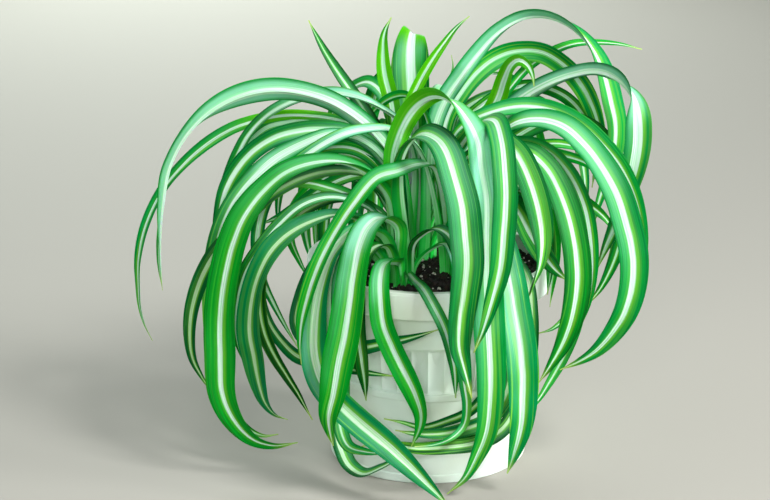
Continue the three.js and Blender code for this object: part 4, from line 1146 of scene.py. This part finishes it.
def make_pot(plastic):
    under_floor = POT_BOTTOM + POT_FOOT_HEIGHT
    floor = under_floor + POT_FLOOR
    flute_span = FLUTES_TOP - RING_TOP
    levels = [RING_TOP + FLUTE_END * share for share in END_RINGS]
    levels += [RING_TOP + flute_span * share for share in (0.3, 0.5, 0.7)]
    levels += [FLUTES_TOP - FLUTE_END * share for share in reversed(END_RINGS)]
    slope = (FLUTES_TOP_RADIUS - FLUTES_BOTTOM_RADIUS) / flute_span
    flutes = [(FLUTES_BOTTOM_RADIUS + (z - RING_TOP) * slope, z, 0) for z in levels]
    line_top = RIM_TOP - RIM_LINE
    mesh = Mesh()
    add_turned(mesh, rounded([
        (CENTRE, under_floor),
        (POT_FOOT_RADIUS - POT_FOOT_WIDTH, under_floor),
        (POT_FOOT_RADIUS - POT_FOOT_WIDTH, POT_BOTTOM),
        (POT_FOOT_RADIUS, POT_BOTTOM),
        (UNDER_RING_RADIUS, RING_BOTTOM - EDGE),
        (RING_RADIUS, RING_BOTTOM, 0.8),
        (RING_RADIUS, RING_TOP, 0.8),
        (FLUTES_BOTTOM_RADIUS, RING_TOP + 0.1, 0.2),
        *flutes,
        (FLUTES_TOP_RADIUS, FLUTES_TOP, 0.2),
        (BAND_RADIUS, FLUTES_TOP + EDGE, 0.8),
        (RIM_NECK_RADIUS, RIM_BOTTOM, 1.5),
        (RIM_RADIUS, RIM_BOTTOM, 0.9),
        (RIM_RADIUS, line_top - RIM_LINE_DEPTH, 0.15),
        (RIM_RADIUS - RIM_LINE_DEPTH, line_top, 0.15),
        (RIM_RADIUS - RIM_LINE_DEPTH, RIM_TOP, 0.9),
        (RIM_RADIUS - RIM_LIP, RIM_TOP, 0.9),
        (RIM_RADIUS - RIM_LIP, RIM_BOTTOM + POT_WALL, 2),
        (RIM_NECK_RADIUS - POT_WALL, RIM_BOTTOM - POT_WALL, 2),
        (BAND_RADIUS - POT_WALL, FLUTES_TOP),
        (UNDER_RING_RADIUS - POT_WALL, RING_BOTTOM),
        (POT_FOOT_RADIUS - POT_WALL, floor, 2),
        (CENTRE, floor),
    ], EDGE), FLUTES * FLUTE_STEPS, relief=flute_relief)
    pot = mesh.object("fluted_pot", [plastic], SHARP_PLASTIC)
    drill_holes(pot, under_floor - 1, floor + 1)
    place_piece(pot, "white_plastic", "pot")


def drill_holes(pot, bottom, top):
    """Cuts the drain holes through the floor."""
    drills = Mesh()
    for hole in range(DRAIN_HOLES):
        turn = hole / DRAIN_HOLES * math.tau
        centre = (DRAIN_CIRCLE * math.cos(turn), DRAIN_CIRCLE * math.sin(turn))
        add_turned(drills, [(DRAIN_RADIUS, bottom), (DRAIN_RADIUS, top)], DRAIN_SEGMENTS, centre)
    cutter = drills.object("drills", [], SHARP_PLASTIC)
    cut = pot.modifiers.new("drain_holes", "BOOLEAN")
    cut.operation = "DIFFERENCE"
    cut.solver = "EXACT"
    cut.object = cutter
    bpy.context.view_layer.objects.active = pot
    bpy.ops.object.modifier_apply(modifier=cut.name)
    bpy.data.objects.remove(cutter)


def ground_height(points):
    """How much the soil's top rises and falls."""
    return np.array([
        SOIL_BUMP * (noise.fractal(Vector(point) / SOIL_WAVE, *SOIL_FRACTAL) + SOIL_LIFT)
        for point in points
    ])


def soil_top(x, y):
    return SOIL_TOP + ground_height([(x, y, 0)])[0]


def make_soil(soil):
    """The filled inside of the pot, with an uneven top and loose crumbs on it."""
    floor = POT_BOTTOM + POT_FOOT_HEIGHT + POT_FLOOR + GAP
    side = [
        (POT_FOOT_RADIUS - POT_WALL - GAP, floor),
        (UNDER_RING_RADIUS - POT_WALL - GAP, RING_BOTTOM),
        (BAND_RADIUS - POT_WALL - GAP, FLUTES_TOP),
        (RIM_NECK_RADIUS - POT_WALL - GAP, RIM_BOTTOM - POT_WALL),
        (SOIL_RADIUS, RIM_BOTTOM + POT_WALL),
    ]
    top = [(SOIL_RADIUS * (1 - step / SOIL_RINGS), SOIL_TOP) for step in range(SOIL_RINGS)]

    def uneven(points):
        return np.where(points[:, 2] > SOIL_TOP - 1, ground_height(points * (1, 1, 0)), 0)

    mesh = Mesh()
    add_turned(mesh, [(CENTRE, floor), *side, *top], SOIL_SEGMENTS, height=uneven)
    mesh.values["grain"] = [np.full(mesh.count, 0.5)]
    scatter(mesh, CRUMBS, CRUMB_SIZES, SOIL_SEED)
    place_piece(mesh.object("potting_mix", [soil], SHARP_SOIL), "potting_soil", "soil")


def make_perlite(perlite):
    mesh = Mesh()
    scatter(mesh, PERLITE_GRAINS, PERLITE_SIZES, SOIL_SEED + 1)
    piece = mesh.object("perlite_grains", [perlite], SHARP_SOIL)
    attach(piece, "root")


def scatter(mesh, count, sizes, seed):
    """Lumpy grains, half sunk in the top of the soil."""
    draw = random.Random(seed)
    shape, faces = ball()
    for _ in range(count):
        size = draw.uniform(*sizes)
        distance = math.sqrt(draw.random()) * (SOIL_RADIUS - size)
        turn = draw.random() * math.tau
        x, y = distance * math.cos(turn), distance * math.sin(turn)
        spin = Matrix.Rotation(draw.random() * math.tau, 3, Vector([draw.gauss(0, 1) for _ in range(3)]))
        stretch = np.array([draw.uniform(*GRAIN_STRETCH) for _ in range(3)]) * size
        here = Vector((x, y, seed))
        lumps = np.array([noise.noise(Vector(point) * LUMPS_PER_GRAIN + here) for point in shape])
        points = (shape * (1 + GRAIN_LUMPS * lumps)[:, None] * stretch) @ np.array(spin)
        centre = (x, y, soil_top(x, y) + size * draw.uniform(*GRAIN_LIFT))
        mesh.add(points + centre, faces, {"grain": draw.random()})


def ball():
    """The points and faces of a small round grain."""
    made = bpy.data.meshes.new("ball")
    shape = bmesh.new()
    bmesh.ops.create_icosphere(shape, subdivisions=2, radius=1)
    shape.to_mesh(made)
    shape.free()
    points = np.array([vertex.co for vertex in made.vertices])
    faces = [list(polygon.vertices) for polygon in made.polygons]
    bpy.data.meshes.remove(made)
    return points, faces


def make_crowns(crown):
    """The three joined crowns that the leaves grow from."""
    mesh = Mesh()
    profile = rounded([
        (CENTRE, CROWN_BOTTOM),
        (CROWN_RADIUS, CROWN_BOTTOM),
        (CROWN_RADIUS, CROWN_TOP),
        (CENTRE, CROWN_TOP),
    ], 1)
    for centre in CROWNS.values():
        add_turned(mesh, profile, SOIL_SEGMENTS // 3, centre)
    piece = mesh.object("crowns", [crown], SHARP_SOIL)
    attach(piece, "root")


def look_of(name, draw):
    """A leaf's look: what LOOKS gives for it, and the usual look with some spread for the rest."""
    look = dict(USUAL_LOOK)
    for key, spread in LOOK_SPREAD.items():
        look[key] += draw.uniform(-spread, spread)
    look["seed"] = draw.random()
    return {**look, **LOOKS.get(name, {})}


def make_leaves(leaf_finish):
    draw = random.Random(LOOK_SEED)
    hand_read = [(*leaf[:5], [seen(*point) for point in leaf[5]]) for leaf in LEAVES]
    tuft = Mesh()
    for leaf in [*hand_read, *back_leaves()]:
        name = leaf[0]
        look = look_of(name, draw)
        if name in FUSED or name.startswith(FUSED_TIERS):
            add_blade(tuft, leaf, CROWN_TOP - ROOT_SUNK, look)
            continue
        mesh = Mesh()
        add_blade(mesh, leaf, CROWN_TOP + GAP, look)
        piece = mesh.object(name + "_blade", [leaf_finish], SHARP_LEAF)
        place_piece(piece, "striped_leaf", name)
    piece = tuft.object("tuft_of_short_leaves", [leaf_finish], SHARP_LEAF)
    place_piece(piece, "striped_leaf", "rootstock")


# Stage, lights and camera


def make_stage():
    finish = Shader("pale_floor").finish(Base_Color=linear(FLOOR_PALE), Roughness=FLOOR_ROUGHNESS)
    mesh = Mesh()
    mesh.add(np.array([(-1, -1, 0), (1, -1, 0), (1, 1, 0), (-1, 1, 0)]) * FLOOR, [(0, 1, 2, 3)])
    floor = mesh.object("floor", [finish], SHARP_PLASTIC)


def aim(thing, place, target):
    place = Vector(place)
    thing.location = place * MM
    thing.rotation_euler = (Vector(target) - place).to_track_quat("-Z", "Y").to_euler()


def add_light(name, place, target, size, power, tint):
    data = bpy.data.lights.new(name, "AREA")
    data.shape = "DISK"
    data.size = size * MM
    data.energy = power
    data.color = tint
    aim(new_object(name, data), place, target)


def light_studio():
    add_light("key", (700, -700, 1200), PLANT_MIDDLE, 450, 23, LAMP_TINT)
    add_light("front_fill", (-60, -1300, 600), PLANT_MIDDLE, 350, 7, LAMP_TINT)
    add_light("pot_side", (1500, -420, 520), POT_MIDDLE, 250, 20, LAMP_TINT)
    add_light("side_window", (-1300, 100, 900), PLANT_MIDDLE, 1200, 8, (0.9, 1.0, 0.97))
    add_light("back_window", (-300, 1500, 750), PLANT_MIDDLE, 1500, 22, (0.9, 1.0, 0.96))
    world = bpy.data.worlds.new("soft_room")
    world.use_nodes = True
    background = world.node_tree.nodes["Background"]
    background.inputs["Color"].default_value = linear(ROOM_COLOUR)
    background.inputs["Strength"].default_value = ROOM_STRENGTH
    bpy.context.scene.world = world
    # The colours of the materials then show as they are.
    bpy.context.scene.view_settings.view_transform = "Standard"


def place_camera():
    """The photograph's view: the middle of the rim lies off the middle of the frame by some pixels."""
    data = bpy.data.cameras.new("photo_view")
    data.sensor_width = SENSOR_WIDTH
    data.lens = SENSOR_WIDTH * FOCAL_PIXELS / PHOTO_WIDTH
    data.clip_start = VIEW_DISTANCE * MM / 20
    camera = new_object("photo_view", data)
    right = (RIM_PIXEL[0] - PHOTO_WIDTH / 2) * VIEW_DISTANCE / FOCAL_PIXELS
    down = (RIM_PIXEL[1] - PHOTO_HEIGHT / 2) * VIEW_DISTANCE / FOCAL_PIXELS
    up_in_view = np.array([0, math.sin(VIEW_TILT), math.cos(VIEW_TILT)])
    aim(camera, EYE, np.array([-right, 0, RIM_TOP]) + up_in_view * down)
    bpy.context.scene.camera = camera


plastic = plastic_material()
make_saucer(plastic)
make_pot(plastic)
make_soil(rough_material("potting_soil", stained="grain"))
make_perlite(rough_material("perlite"))
make_crowns(rough_material("crown_flesh"))
make_leaves(leaf_material())
make_stage()
light_studio()
place_camera()
